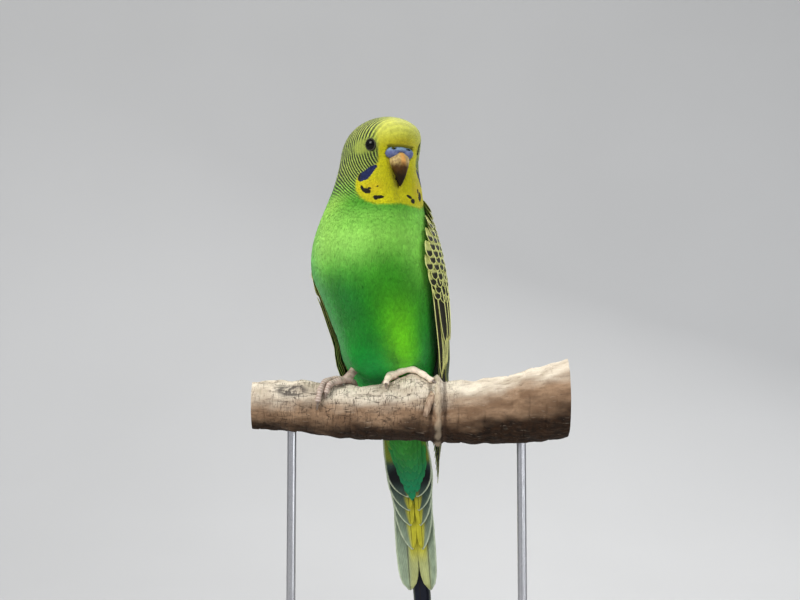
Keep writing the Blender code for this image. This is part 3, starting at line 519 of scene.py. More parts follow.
def inside(u, h, outline):
    """How far inside an outline places lie. Outside it is negative."""
    best, odd = np.full(len(u), 1e9), np.zeros(len(u), bool)
    for (ax, ay), (bx, by) in zip(outline, outline[1:] + outline[:1]):
        dx, dy = bx - ax, by - ay
        t = np.clip(((u - ax) * dx + (h - ay) * dy) / (dx * dx + dy * dy), 0, 1)
        best = np.minimum(best, np.hypot(u - ax - t * dx, h - ay - t * dy))
        rise = dy if abs(dy) > 1e-9 else 1e-9
        odd ^= ((ay > h) != (by > h)) & (u < ax + (h - ay) * dx / rise)
    return np.where(odd, best, -best)


def patched(green, height, angle, patches):
    for tone, share, h0, a0, tall, wide, lean in patches:
        spot = bump_at(height + lean * (angle - a0), angle, h0, a0, tall, wide)
        green = blend(green, tone, share * spot)
    return green


def eye_middles():
    return [(way, coat(EYE_HEIGHT, 270.0 + way * EYE_ANGLE)) for way in (1.0, -1.0)]


def paint(points):
    """The coat's ground colour at points, with light and shade painted into it, and the numbers from
    which the shader draws its marks.
    """
    height = points[:, 2]
    side, forward = head_places(points)
    around = np.maximum(np.hypot(side, forward), 1e-6)
    u = np.arctan2(side, forward) * np.hypot(side, forward)
    u = np.where(u > 0, 0.88 * u, u)
    limb = np.degrees(u / around)
    in_front = forward > 8.0

    angle = (coat_angle(points) - 270.0 + 180.0) % 360.0 - 180.0
    heights = [row[0] for row in GREENS]
    tones = [np.interp(height, heights, [row[1][k] for row in GREENS]) for k in range(3)]
    green = patched(np.stack(tones, -1), height, angle, LOW_PATCHES)
    # Mint on the bird's right side, which faces the key lamp: painted light.
    lit_side = ease(30.0, 75.0, -angle) * ease(172.0, 150.0, height) * ease(112.0, 126.0, height)
    green = blend(green, LIT_SIDE_GREEN, 0.5 * lit_side)
    green = patched(green, height, angle, HIGH_PATCHES)
    green = blend(green, RUMP_GREEN, ease(95.0, 130.0, np.abs(angle)) * 0.7)

    soft = 0.45 + 0.9 * ease(186.0, 192.0, height)
    mask = ease(-soft, soft, inside(np.abs(u), height, MASK_OUTLINE))
    # The lower mask's yellow is darkened for the shade under the bill: painted shade.
    yellow = blend(SHADED_MASK_YELLOW, PALE_YELLOW, ease(187.5, 196.0, height))
    root = bump_at(height, side, 190.0, 0.0, 1.6, 5.0) * in_front
    yellow = blend(yellow, ROOT_YELLOW, 0.5 * root)
    chin = bump_at(height, np.abs(side), 175.0, 9.0, 2.6, 3.2)
    yellow = blend(yellow, CHIN_YELLOW, 0.35 * chin)
    by_eye = ease(28.0, 34.0, np.degrees(np.abs(u) / around)) * ease(183.0, 186.0, height)
    yellow = blend(yellow, EDGE_YELLOW, 0.4 * by_eye)

    back_up = height + 0.12 * forward
    barred = ease(169.8, 176.0, back_up) * (1 - mask) + 0.16 * mask * ease(190.0, 195.0, height)
    ground = blend(BAR_GROUND, CROWN_GROUND, ease(188.0, 197.0, height))
    colour = blend(blend(green, ground, ease(173.0, 181.5, back_up)), yellow, mask)
    for way, eye in eye_middles():
        line = coat(EYE_HEIGHT - 0.4, 270.0 + way * (EYE_ANGLE + 17.0)) - eye
        t = np.clip(((points - eye) @ line) / (line @ line), 0.0, 1.0)
        plain = ease(3.2, 1.7, np.linalg.norm(points - eye - t[:, None] * line, axis=-1))
        barred = barred * (1 - 0.85 * plain)
        colour = blend(colour, OLIVE, 0.75 * plain)
    across, up = np.maximum(np.abs(side) - 4.2, 0.0), np.maximum(np.abs(height - 187.2) - 1.6, 0.0)
    colour = blend(colour, CERE_SHADE, 0.7 * ease(1.1, 0.4, np.hypot(across, up)) * in_front)
    at_limb = bump_at(height, limb, 181.0, 57.0, 9.0, 9.0) * (1 - mask)
    colour = blend(colour, LIMB_SHADE, 0.85 * at_limb)
    gap = np.abs(side) - np.interp(height, (173.0, 177.0, 181.0, 185.0), (0.2, 1.2, 2.6, 3.6))
    by_bill = ease(1.5, 0.2, gap) * ease(173.5, 176.5, height) * ease(187.5, 185.5, height)
    colour = blend(colour, BILL_SHADE, 0.4 * by_bill * in_front)

    lift = BAR_LIFT_BEHIND * ease(-5.0, -14.0, forward)
    centre = BAR_CENTRE + np.stack((0 * lift, 0 * lift, lift), -1)
    distance = np.linalg.norm(points - centre, axis=-1) + 0.3 * np.maximum(-6.0 - forward, 0.0)
    phase = distance / (BAR_PITCH * (1.0 + 0.07 * ease(3.0, -6.0, forward)))
    cheek = inside(np.abs(u), height, CHEEK_OUTLINE)
    return colour, {"barred": barred, "phase": phase, "cheek": cheek, "arc": u, "level": height}


# The form that body feathers lie on

FORM_HEIGHTS = np.concatenate(
    (np.arange(66.0, 176.0, 1.0), np.arange(176.0, 200.0, 0.6), np.arange(200.0, 201.9, 0.3))
)
FORM_SIDES = 144


def form_mesh(depth):
    """The coat's rings with the thighs' swell, sunk by a depth that goes with the height."""
    angles = np.arange(FORM_SIDES) * 360.0 / FORM_SIDES
    heights, around = np.meshgrid(FORM_HEIGHTS, angles, indexing="ij")
    points = coat(heights, around).reshape(-1, 3)
    normals = coat_normal(heights, around).reshape(-1, 3)
    swell = thigh_swell(points, normals).reshape(len(FORM_HEIGHTS), FORM_SIDES)
    for _ in range(10):
        swell = (swell + np.roll(swell, 1, 1) + np.roll(swell, -1, 1)) / 3
        swell[1:-1] = (swell[:-2] + swell[1:-1] + swell[2:]) / 3
    side, forward = head_places(points)
    cheek = bump_at(points[:, 2], np.abs(side), 179.0, 5.6, 6.5, 3.4)
    groove = bump_at(points[:, 2], side, 174.5, 0.0, 3.6, 1.5)
    brow = bump_at(points[:, 2], side, 192.5, 0.0, 3.0, 6.0)
    puff = (1.0 * cheek - 0.7 * groove + 0.5 * brow) * (forward > 2.0)
    sunk = np.repeat(np.interp(FORM_HEIGHTS, *depth), FORM_SIDES)
    points = points + normals * (swell.ravel() + puff - sunk)[:, None]
    top = np.array((COAT[-1][1], PERCH_Y + COAT[-1][2], CROWN - np.interp(CROWN, *depth)))
    points = np.concatenate((points, top[None]))
    ring = (len(FORM_HEIGHTS) - 1) * FORM_SIDES + np.arange(FORM_SIDES)
    cap = np.stack((ring, np.roll(ring, -1), np.full(FORM_SIDES, len(points) - 1)), axis=-1)
    return points, grid_faces(len(FORM_HEIGHTS), FORM_SIDES, True), cap


FORM, FORM_QUADS, FORM_CAP = form_mesh(((0.0,), (0.0,)))
FORM_TREE = BVHTree.FromPolygons(
    [tuple(point) for point in FORM], [tuple(face) for face in FORM_QUADS.tolist() + FORM_CAP.tolist()]
)
FORM_TRIANGLES = np.concatenate((FORM_QUADS[:, [0, 1, 2]], FORM_QUADS[:, [0, 2, 3]], FORM_CAP))


def onto_form(points):
    """Each point moved to the form, and the form's normal there."""
    places, normals = np.empty_like(points), np.empty_like(points)
    for i, point in enumerate(points):
        places[i], normals[i] = FORM_TREE.find_nearest(Vector(point))[:2]
    return places, normals


def skin_map(points):
    """Where points lie on an unwrap of the skin: angle round it, and height."""
    u, v = coat_angle(points) / 360.0, (points[..., 2] - 66.0) / 137.0
    return 0.02 + 0.96 * np.stack((u, v), axis=-1)


def lie(points, normals):
    """Which way the feathers point: back from the bill over the head, down and back on the body."""
    low = ease(188.0, 178.0, points[:, 2])[:, None]
    head = unit(points - head_point(0.0, 15.5, 185.0)) + low * np.array((0.0, 0.0, -1.1))
    way = blend(head, np.array((0.0, 0.12, -1.0)), ease(180.0, 171.0, points[:, 2]))
    return unit(way - normals * (way * normals).sum(-1, keepdims=True))


def scatter(spacing, wanted, tries=9):
    """Places spread evenly over the form, spacing(points) apart, where wanted(points) says so."""
    a, b, c = (FORM[FORM_TRIANGLES[:, i]] for i in range(3))
    area = np.linalg.norm(np.cross(b - a, c - a), axis=-1) / 2
    middle = (a + b + c) / 3
    density = np.where(wanted(middle), area / spacing(middle) ** 2, 0.0)
    count = int(density.sum() * tries)
    which = draw.choice(len(area), size=count, p=density / density.sum())
    u, v = draw.random(count), draw.random(count)
    over = u + v > 1
    u[over], v[over] = 1 - u[over], 1 - v[over]
    points = a[which] + (b - a)[which] * u[:, None] + (c - a)[which] * v[:, None]
    gaps = spacing(points)
    keys = np.floor(points / float(gaps.max())).astype(int)
    near = [(i, j, k) for i in (-1, 0, 1) for j in (-1, 0, 1) for k in (-1, 0, 1)]
    held, kept = {}, []
    for n, (x, y, z) in enumerate(points):
        key, gap = keys[n], gaps[n] ** 2
        others = (p for i, j, k in near for p in held.get((key[0] + i, key[1] + j, key[2] + k), ()))
        if all((px - x) ** 2 + (py - y) ** 2 + (pz - z) ** 2 >= gap for px, py, pz in others):
            held.setdefault(tuple(key), []).append((x, y, z))
            kept.append(n)
    return points[kept]


def coat_piece(name, slot, material, wanted, measure, sizes, rows, columns):
    """Small feathers laid over the form, each a curved vane whose end splits into barbs.

    sizes are tables of the feathers' gaps, lengths and so on, read at measure(points).
    """
    roots = scatter(lambda p: np.interp(measure(p), *sizes["gap"]), wanted)
    count = len(roots)
    roots, normals = onto_form(roots)
    at_roots = [np.interp(measure(roots), *sizes[key]) for key in ("length", "half", "depth", "lift")]
    length, half, depth, top = at_roots
    length = length * draw.uniform(0.85, 1.15, count)
    way = lie(roots, normals)
    way = unit(way + np.cross(normals, way) * draw.normal(0.0, LIE_SWING, count)[:, None])
    stops = np.concatenate((np.linspace(0.0, 1.0 - FRINGE, rows), [1.0]))
    places, outs, ways = [roots], [normals], [way]
    at = roots
    for i in range(1, len(stops)):
        free = at + way * (length * (stops[i] - stops[i - 1]))[:, None]
        at, out = onto_form(free)
        below = ease(-0.2, -0.7, out[:, 2]) * ease(120.0, 116.0, at[:, 2])
        at = blend(at, free, 0.75 * below * (at[:, 1] < PERCH_Y + 6.0))
        way = unit(way - out * (way * out).sum(-1, keepdims=True))
        places.append(at)
        outs.append(out)
        ways.append(way)
    shape = np.interp(stops, (0.0, 0.25, 0.6, 0.85, 1.0), (0.45, 0.85, 1.0, 0.85, 0.5))
    spread = np.linspace(-1.0, 1.0, columns)
    lift_tip = top * draw.uniform(0.4, 1.6, count)
    points, along, across, normals = [], [], [], []

    def add(place, i, u, wander, lift):
        side = np.cross(outs[i], ways[i])
        lift = lift - 0.12 * half * u * u
        points.append(place + side * (half * shape[i] * wander)[:, None] + outs[i] * lift[:, None])
        normals.append(outs[i] + 0.3 * u * side + 0.12 * ways[i] * stops[i])
        along.append(np.full(count, stops[i]))
        across.append(np.full(count, u))

    for i in range(rows):
        for u in spread:
            add(places[i], i, u, u, lift_tip * stops[i] - depth * (1 - stops[i]) ** 2.2)
    for u in (spread[1:] + spread[:-1]) / 2:
        reach = draw.uniform(-0.16, 0.12, count) - 0.3 * u * u * FRINGE
        end = places[-1] + ways[-1] * (length * reach)[:, None]
        add(end, -1, u, u + draw.normal(0.0, 0.12, count), lift_tip)
    each = rows * columns + columns - 1
    points = np.stack(points, axis=1).reshape(-1, 3)
    along, across = np.stack(along, 1).ravel(), np.stack(across, 1).ravel()
    last = (rows - 1) * columns
    ends = [(last + k + 1, last + k, rows * columns + k) for k in range(columns - 1)]
    offset = (np.arange(count) * each)[:, None, None]
    faces = [
        (grid_faces(rows, columns)[:, ::-1][None] + offset).reshape(-1, 4),
        (np.array(ends)[None] + offset).reshape(-1, 3),
    ]
    colour, marks = paint(points)
    if name != "coat_head":
        colour = 0.5 * colour + 0.5 * np.repeat(paint(roots)[0], each, axis=0)
    tone = np.repeat(draw.uniform(0.92, 1.08, count), each)[:, None]
    patch = 0.0015 * np.stack((across, 2 * along - 1), axis=-1)
    patch = skin_map(np.repeat(roots, each, axis=0)) + patch
    marks = {"along": along, "across": across, **marks}
    piece = mesh_object(name, points, faces, slot, material, (), patch, marks, colour * tone)
    normals = unit(np.stack(normals, axis=1).reshape(-1, 3)).astype(np.float32)
    piece.data.normals_split_custom_set_from_vertices(normals)


def in_face(points):
    """Where the eyes, the cere and the bill stand in the feathers."""
    side, forward = head_places(points)
    height = points[:, 2]
    cere = (np.abs(side) < 4.9) & (height > 185.2) & (height < 189.0)
    half = np.interp(height, (175.0, 178.0, 181.0, 186.0), (0.2, 0.9, 2.0, 3.3))
    bill = (np.abs(side) < half) & (height > 175.6) & (height <= 186.0)
    found = (forward > 5.0) & (cere | bill)
    for _, eye in eye_middles():
        found |= np.linalg.norm(points - eye, axis=-1) < 2.2
    return found


FRINGE, LIE_SWING = 0.3, 0.12
SKIN_DEPTH = ((60.0, 168.0, 180.0, 210.0), (1.75, 1.75, 0.95, 0.95))
# Sizes of the small feathers: on the head by the distance from the face, on the body by height
FROM_FACE, BODY_HEIGHTS = (3.0, 7.0, 16.0, 30.0), (98.0, 130.0, 160.0, 174.0)
HEAD_COAT = {
    "gap": (FROM_FACE, (0.3, 0.4, 0.52, 0.72)),
    "length": (FROM_FACE, (1.1, 1.8, 2.7, 4.2)),
    "half": (FROM_FACE, (0.28, 0.42, 0.66, 1.05)),
    "depth": ((3.0, 16.0, 30.0), (0.5, 0.75, 1.2)),
    "lift": ((0.0,), (0.06,)),
}
BODY_COAT = {
    "gap": (BODY_HEIGHTS, (0.74, 0.74, 0.7, 0.62)),
    "length": (BODY_HEIGHTS, (7.0, 7.0, 6.2, 4.2)),
    "half": (BODY_HEIGHTS, (1.35, 1.45, 1.3, 1.0)),
    "depth": ((0.0,), (1.5,)),
    "lift": ((0.0,), (0.05,)),
}
# Body coat: lowest and highest root, and how far round to the back it starts and ends
BODY_PIECES = (
    ("coat_breast", 136.0, 168.0, -2.0, 0.35),
    ("coat_belly", 98.0, 136.0, -2.0, 0.5),
    ("coat_back", 98.0, 168.0, 0.35, 2.0),
)


def make_coat():
    points, quads, cap = form_mesh(SKIN_DEPTH)
    colour, marks = paint(points)
    soft, fine = plumage("body_plumage"), plumage("head_plumage", True)
    marks = {"along": np.full(len(points), 0.5), "across": np.zeros(len(points)), **marks}
    mesh_object(
        "skin", points, [quads, cap], "body_feathers", fine,
        ("head", "neck", "torso", "thigh_l", "thigh_r"), skin_map(points), marks, colour * 0.8,
    )
    coat_piece(
        "coat_head", "head_feathers", fine, lambda p: (p[:, 2] > 166.5) & ~in_face(p),
        lambda p: np.linalg.norm(p - head_point(0.0, 15.5, 186.0), axis=-1), HEAD_COAT, 3, 4,
    )
    for name, low, high, start, end in BODY_PIECES:

        def wanted(p):
            round_it = np.sin(np.radians(coat_angle(p)))
            return (p[:, 2] > low) & (p[:, 2] <= high) & (round_it >= start) & (round_it < end)

        coat_piece(name, "body_feathers", soft, wanted, lambda p: p[:, 2], BODY_COAT, 4, 5)


# Firm feathers


def vanes(name, slot, material, nodes, columns, paths, sides, outs, halves, colours,
          thick=0.12, camber=0.12, rimmed=None, plain=None):
    """Closed thin feathers from centre lines, each with the ways across and out of it.

    halves has one half width for each point of a path, or a set for each web. plain is the side
    of each feather that has no rim, as 1 or -1.
    """
    count, rows = paths.shape[:2]
    spread = np.linspace(-1.0, 1.0, columns)
    t = np.linspace(0.0, 1.0, rows)
    webs = halves if halves.ndim == 3 else np.stack((halves, halves))
    halves = np.where(spread[:, None, None] < 0, webs[0], webs[1]).transpose(1, 2, 0)
    sheet = []
    for k, u in enumerate(spread):
        ridge = -camber * halves[:, :, k] * u * u + 0.06 * math.exp(-((u / 0.12) ** 2))
        sheet.append(paths + sides * (halves[:, :, k] * u)[..., None] + outs * ridge[..., None])
    upper = np.stack(sheet, axis=2)
    thin = thick * np.where(np.abs(spread) > 0.99, 0.25, 1.0)[None, None, :, None]
    lower = upper - outs[:, :, None, :] * thin
    points = np.concatenate((upper.reshape(count, -1, 3), lower.reshape(count, -1, 3)), axis=1)
    quads = grid_faces(rows, columns)
    per = rows * columns
    border = [*range(columns), *[r * columns + columns - 1 for r in range(1, rows)]]
    border += [per - columns + c for c in range(columns - 2, -1, -1)]
    border = np.array(border + [r * columns for r in range(rows - 2, 0, -1)])
    after = np.roll(border, -1)
    rim = np.stack((border, border + per, after + per, after), axis=-1)
    one = np.concatenate((quads, quads[:, ::-1] + per, rim))
    offset = (np.arange(count) * 2 * per)[:, None, None]
    along = np.tile(np.repeat(t, columns), 2 * count)
    across = np.tile(np.tile(spread, rows), 2 * count)
    length = np.linalg.norm(np.diff(paths, axis=1), axis=-1).sum(1)
    wide = halves * (1 - np.abs(spread))[None, None, :]
    if plain is not None:
        wide = np.where(spread[None, None, :] * plain[:, None, None] > 0.01, 9.0, wide)
    edge = np.minimum(wide, (length[:, None] * (1 - t)[None])[:, :, None]).reshape(count, -1)
    edge = np.concatenate((edge, edge), axis=1).ravel()
    rimmed = np.repeat(np.ones(count) if rimmed is None else rimmed, 2 * per)
    columns_of = max(1, math.ceil(math.sqrt(count / 3.0)))
    index = np.repeat(np.arange(count), 2 * per)
    under = np.tile(np.repeat((0, 1), per), count)
    u = index % columns_of + 0.5 * under + 0.03 + 0.44 * (across * 0.5 + 0.5)
    v = index // columns_of + 0.04 + 0.92 * along
    uv = np.stack((u / columns_of, v / math.ceil(count / columns_of)), -1)
    if colours.ndim == 3:
        paints = np.concatenate((colours, colours), axis=1).reshape(-1, 3)
    else:
        paints = np.repeat(colours, 2 * per, axis=0)
    mesh_object(
        name, points.reshape(-1, 3), [(one[None] + offset).reshape(-1, 4)], slot, material, nodes,
        uv, {"along": along, "across": across, "edge": edge, "rimmed": rimmed}, paints,
    )


# How far the wing stands off the coat: height, lift
LIFT_SAMPLES = sampled((
    (60.0, 1.5), (70.0, 1.8), (80.0, 2.2), (90.0, 3.3), (100.0, 4.2), (110.0, 3.8),
    (120.0, 2.6), (132.0, 1.8), (150.0, 1.4), (167.0, 1.1), (176.0, 0.6),
))
# Front edge of the small wing feathers: height, angle on the left wing, angle on the right
WING_EDGE = (
    (138.0, -21.0, 12.0), (141.0, -25.0, 13.0), (146.0, -27.0, 15.0), (150.0, -26.0, 17.0),
    (152.5, -24.0, 17.0), (160.0, -17.0, 22.0), (168.0, -4.0, 32.0),
)
# Outlines of firm feathers: places along them, and shares of the half width
FLIGHT_SHAPE = ((0.0, 0.1, 0.3, 0.65, 0.85, 0.95, 1.0), (0.25, 0.5, 0.9, 1.0, 0.82, 0.5, 0.06))
COVERT_SHAPE = ((0.0, 0.2, 0.5, 0.75, 0.88, 0.96, 1.0), (0.4, 0.75, 1.0, 1.0, 0.8, 0.5, 0.12))


def wing_place(side, height, angle, tier):
    """Points over the wing. Angle runs from the front edge to the back on both wings."""
    angle = angle if side > 0 else 180.0 - angle
    lift = read(LIFT_SAMPLES, height)[0] + tier
    return coat(height, angle) + coat_normal(height, angle) * np.asarray(lift)[..., None]


def fan(count, root_height, tip_height, root_angle, tip_angle, tiers, half, tilt, jitter=0.0):
    """Feathers in a fan. Heights and angles are given for its first and its last feather.

    tiers are the lifts of each feather's root and tip.
    """
    t = np.linspace(0.0, 1.0, count)
    ranges = (root_height, tip_height, root_angle, tip_angle)
    values = [first + (last - first) * t for first, last in ranges]
    if jitter:
        values[1] = values[1] + draw.normal(0.0, jitter, count)
        values[3] = values[3] + draw.normal(0.0, jitter, count)
    return np.stack([*values, *(np.full(count, value) for value in (*tiers, half, tilt))], axis=-1)


def wing_vanes(name, side, fans, rows, shape, material, nodes=(), colours=None):
    """The feathers of some fans over a wing, made into one piece."""
    made = np.concatenate(fans)
    h0, h1, a0, a1, low, high, half, tilt = made.T[:, :, None]
    t = np.linspace(0.0, 1.0, rows)[None, :]
    tier = low + (high - low) * t

    def place(u, aside=0.0):
        return wing_place(side, h0 + (h1 - h0) * u, a0 + (a1 - a0) * u + aside, tier)

    ahead = unit(place(t + 0.01) - place(t - 0.01))
    across = place(t, 1.0) - place(t, -1.0)
    across = unit(across - ahead * (across * ahead).sum(-1, keepdims=True))
    out = np.cross(ahead, across) * -side
    lean = np.radians(tilt)[:, :, None]
    sides = across * np.cos(lean) - out * np.sin(lean)
    outs = out * np.cos(lean) + across * np.sin(lean)
    colours = np.tile(DARK, (len(made), 1)) if colours is None else colours
    halves = half * np.interp(t, *shape)
    vanes(name, "wing_feathers", material, nodes, 9, place(t), sides, outs, halves, colours)


def lesser_rows(left, low):
    """Rows of small scalloped feathers up a wing, each half a feather aside of the last."""
    for k in range(14):
        tip = 137.0 + 2.4 * k
        first = np.interp(tip, *zip(*[(row[0], row[1 if left else 2]) for row in WING_EDGE]))
        last = np.interp(tip, (138.0, 160.0, 170.0), (78.0, 78.0, 72.0))
        shift = 4.2 * (k % 2)
        yield fan(
            int(round((last - first) / 8.4)), (tip + 5.6, tip + 6.0), (tip, tip + 0.6),
            (first + 0.5 + shift, last + shift), (first + shift, last + 0.5 + shift),
            (0.5 * low - 0.25 * max(k - 6, 0), (2.2 - 0.08 * k) * low), 1.95, 8.0 - 0.3 * k, 0.3,
        )


def mantle_rows():
    """Rows of scalloped feathers over the back, between the wings."""
    for k in range(18):
        tip = 126.0 + 2.5 * k
        span = np.interp(tip, (126.0, 150.0, 168.0), (34.0, 44.0, 66.0))
        shift = 2.2 * (k % 2)
        ends = (90.0 - span / 2 + shift, 90.0 + span / 2 + shift)
        yield fan(
            int(round(span / 4.4)), (tip + 7.0, tip + 7.0), (tip, tip), ends, ends,
            (-2.4, 1.0 - 0.04 * k), 1.8, 5.0, 0.4,
        )


def make_wings():
    flight = vane_material("flight_vanes", FLIGHT_RIM, 0.32, 0.1, 0.5)
    covert = vane_material("covert_vanes", RIM, 0.42, 0.14, 0.6)
    scallop = scallop_material()
    flight_colours = np.concatenate((np.tile(DARK, (9, 1)), np.tile(DARK_GREEN, (10, 1))))
    for side, tag in ((1.0, "l"), (-1.0, "r")):
        left = side > 0
        # The right wing lies further back, closer and with its roots under the breast's feathers
        tuck, low, sunk = (0.0, 1.0, 0.0) if left else (24.0, 0.55, -1.9)
        front, tips = (-15.0, (17.0, 50.0)) if left else (-6.0, (76.0, 92.0))
        back = (-4.0 + 0.4 * tuck, 72.0)
        fans = [
            fan(9, (136.0, 130.0), (74.0, 92.0), (front, 12.0), tips, (sunk, 0.0), 2.4, 15.0),
            fan(10, (141.0, 142.0), (98.0, 114.0), back, (24.0, 82.0), (0.8, 1.5), 2.9, 10.0),
        ]
        wing_vanes(
            f"wing_flight_{tag}", side, fans, 14, FLIGHT_SHAPE, flight, (f"wing_{tag}",), flight_colours
        )
        fans = [
            fan(
                7, (149.0, 146.0), (113.0, 120.0), (-26.0 + tuck, -12.0 + tuck),
                (-12.0 + tuck, 10.0 + tuck), (0.9 * low + sunk, 1.3 * low), 1.35, 12.0, 0.4,
            ),
            fan(
                14, (148.0, 150.0), (124.0, 129.0), (-20.0 + tuck, 76.0), (-9.0 + tuck, 80.0),
                (1.2 * low + 0.6 * sunk, 2.2 * low), 2.1, 9.0, 0.4,
            ),
        ]
        wing_vanes(f"wing_coverts_{tag}", side, fans, 10, COVERT_SHAPE, covert)
        fans = list(lesser_rows(left, low))
        wing_vanes(f"wing_lesser_{tag}", side, fans, 7, COVERT_SHAPE, scallop)
    wing_vanes("mantle", 1.0, list(mantle_rows()), 8, COVERT_SHAPE, scallop)


TAIL_ROOT, TAIL_SLOPE, TAIL_TURN = (2.2, 22.2, 92.0), (0.074, 0.325, -1.0), -10.0
TAIL_LEAN, TAIL_SPREAD = 1.3, 1.3
# From the middle pair out: length, side shift of the left and of the right tip, inner and outer
# half width, layer
TAIL_FEATHERS = (
    (84.0, 0.7, 0.7, 2.5, 2.5, 2.2),
    (60.0, 3.65, 4.0, 3.9, 3.0, 0.6),
    (44.0, 1.9, 1.9, 1.9, 4.9, -0.3),
    (34.5, 1.8, 1.8, 1.7, 5.5, -1.2),
    (28.5, 1.7, 1.7, 1.3, 6.2, -2.1),
    (23.0, 1.6, 1.6, 1.2, 6.3, -3.0),
)
ROUND_TIP = ((0.0, 0.4, 0.75, 0.88, 0.94, 0.98, 1.0), (0.7, 0.95, 1.0, 0.92, 0.76, 0.48, 0.14))
OUTER_WEB = (
    (0.0, 0.3, 0.55, 0.7, 0.8, 0.88, 0.94, 0.98, 1.0),
    (0.88, 0.98, 1.0, 0.92, 0.78, 0.6, 0.4, 0.2, 0.05),
)
INNER_WEB = ((0.0, 0.4, 0.85, 0.94, 0.98, 1.0), (0.7, 0.95, 1.0, 0.84, 0.5, 0.08))
TAIL_BLACK, TAIL_MIDDLE, TAIL_RIM = rgb(4, 9, 14), rgb(17, 22, 36), rgb(184, 196, 168)
TAIL_DARK, TAIL_GREY, TAIL_GOLD = rgb(44, 64, 58), rgb(140, 156, 132), rgb(186, 180, 42)
TAIL_PALE, TAIL_OLIVE = rgb(170, 176, 118), rgb(118, 132, 44)
VENT_GREEN, VENT_BLUE, VENT_OLIVE = rgb(54, 140, 50), rgb(22, 128, 82), rgb(140, 146, 40)


def tail_paths(feathers, stations):
    """Straight feathers down the tail: start, end, side shifts and layers at root and tip."""
    down = unit(np.array(TAIL_SLOPE))
    left = turned(TAIL_TURN)[0]
    left = unit(left - down * (left @ down))
    root, back = np.array((TAIL_ROOT[0], PERCH_Y + TAIL_ROOT[1], TAIL_ROOT[2])), np.cross(left, down)
    t = np.linspace(0.0, 1.0, stations)
    opening = np.sin(np.pi / 2 * np.minimum(1.0, 1.6 * t))
    paths = []
    for start, end, shifts, layers in feathers:
        reach = start + (end - start) * t
        aside = shifts[0] + (shifts[1] - shifts[0]) * opening + TAIL_LEAN * ease(-4.0, 14.0, reach)
        layer = layers[0] + (layers[1] - layers[0]) * opening
        paths.append(root + down * reach[:, None] + left * aside[:, None] + back * layer[:, None])
    paths = np.array(paths)
    return paths, np.broadcast_to(left, paths.shape), np.broadcast_to(back, paths.shape)


def tail_paint(i, down, place):
    """Colours of tail feather i at places down it and out from the tail's middle, in millimetres."""
    if i == 0:
        return np.broadcast_to(TAIL_MIDDLE, (*down.shape, 3))
    colour = blend(TAIL_DARK, TAIL_GREY, ease(24.0, 56.0, down + 1.2 * place))
    inner = ease(4.2, 2.4, place) * ease(19.0, 26.0, down) * ease(55.0, 44.0, down)
    colour = blend(colour, TAIL_GOLD, 0.95 * inner)
    colour = blend(colour, TAIL_PALE, (i == 1) * ease(42.0, 54.0, down) * ease(5.0, 2.5, place))
    patch = ease(7.0, 10.5, down - 0.5 * place) * ease(21.0, 16.0, down)
    colour = blend(colour, TAIL_BLACK, (i >= 3) * patch)
    return blend(colour, TAIL_OLIVE, ease(11.0, 8.0, down) * (i >= 4))


def make_tail():
    stations, columns = 24, 11
    t, spread = np.linspace(0.0, 1.0, stations), np.linspace(-1.0, 1.0, columns)
    feathers, halves, colours, rims, plain = [], [], [], [], []
    for i, (length, shift_left, shift_right, within, without, layer) in enumerate(TAIL_FEATHERS):
        for side, shift in ((1.0, shift_left), (-1.0, shift_right)):
            # The right feather of the middle pair lies under the left one
            tier = layer - 0.5 if i == 0 and side < 0 else layer
            feathers.append((0.0, length, (side * 0.3 * (i + 1), side * shift), (tier * 0.6, tier)))
            wide = without + (TAIL_SPREAD if side < 0 and i > 0 else 0.0)
            outer = wide * np.interp(t, *(OUTER_WEB if i > 1 else ROUND_TIP))
            inner = within * np.interp(t, *(INNER_WEB if i > 1 else ROUND_TIP))
            halves.append(np.stack((inner, outer) if side > 0 else (outer, inner)))
            out = side * spread
            place = shift + np.where(out > 0, out * wide, out * within)
            down, place = np.broadcast_arrays((length * t)[:, None], place[None])
            colours.append(tail_paint(i, down, place).reshape(-1, 3))
            rims.append(0.15 if i == 0 else 1.0)
            plain.append(-side)
    vanes(
        "tail_feathers", "tail_feathers", vane_material("tail_vanes", TAIL_RIM, 0.5, 0.3, 0.55),
        ("tail",), columns, *tail_paths(feathers, stations), np.array(halves).transpose(1, 0, 2),
        np.array(colours), camber=0.03, rimmed=np.array(rims), plain=np.array(plain),
    )
    stations = 9
    feathers, colours, faces = [], [], []
    for face, rows in ((-1.0, 11), (1.0, 8)):
        for end in -1.0 + 2.5 * np.arange(rows):
            span = np.interp(end, (0.0, 14.0, 20.5, 24.0), (6.4, 4.6, 2.2, 0.0))
            count = max(1, int(round(span / 0.62)))
            for j in range(count):
                shift = 0.0 if count == 1 else span * (2.0 * j / (count - 1) - 1.0)
                shift += draw.normal(0.0, 0.12)
                tip = end - 0.25 * abs(shift) + draw.normal(0.0, 0.3)
                layer = face * np.interp(end, (-1.0, 24.0), (6.0, 3.4)) * (1 - 0.012 * shift * shift)
                feathers.append((end - 11.0, tip, (shift * 0.96, shift), (layer * 0.86, layer)))
                olive = ease(4.6, 6.2, abs(shift)) * ease(9.0, 4.0, end)
                colour = blend(VENT_GREEN, VENT_BLUE, ease(4.0, 22.0, end))
                colour = blend(colour, VENT_OLIVE, olive)
                colours.append(colour * (0.94 + 0.12 * draw.random()))
                faces.append(face)
    paths, sides, outs = tail_paths(feathers, stations)
    outs = outs * np.array(faces)[:, None, None]
    wide = 1.5 * np.interp(np.linspace(0, 1, stations), *COVERT_SHAPE)
    wide = np.broadcast_to(wide, (len(faces), stations))
    soft = plumage("tail_covert_plumage")
    vanes(
        "tail_coverts", "tail_feathers", soft, (), 7, paths, sides, outs, wide, np.array(colours), 0.08
    )


# Bill, cere and eyes


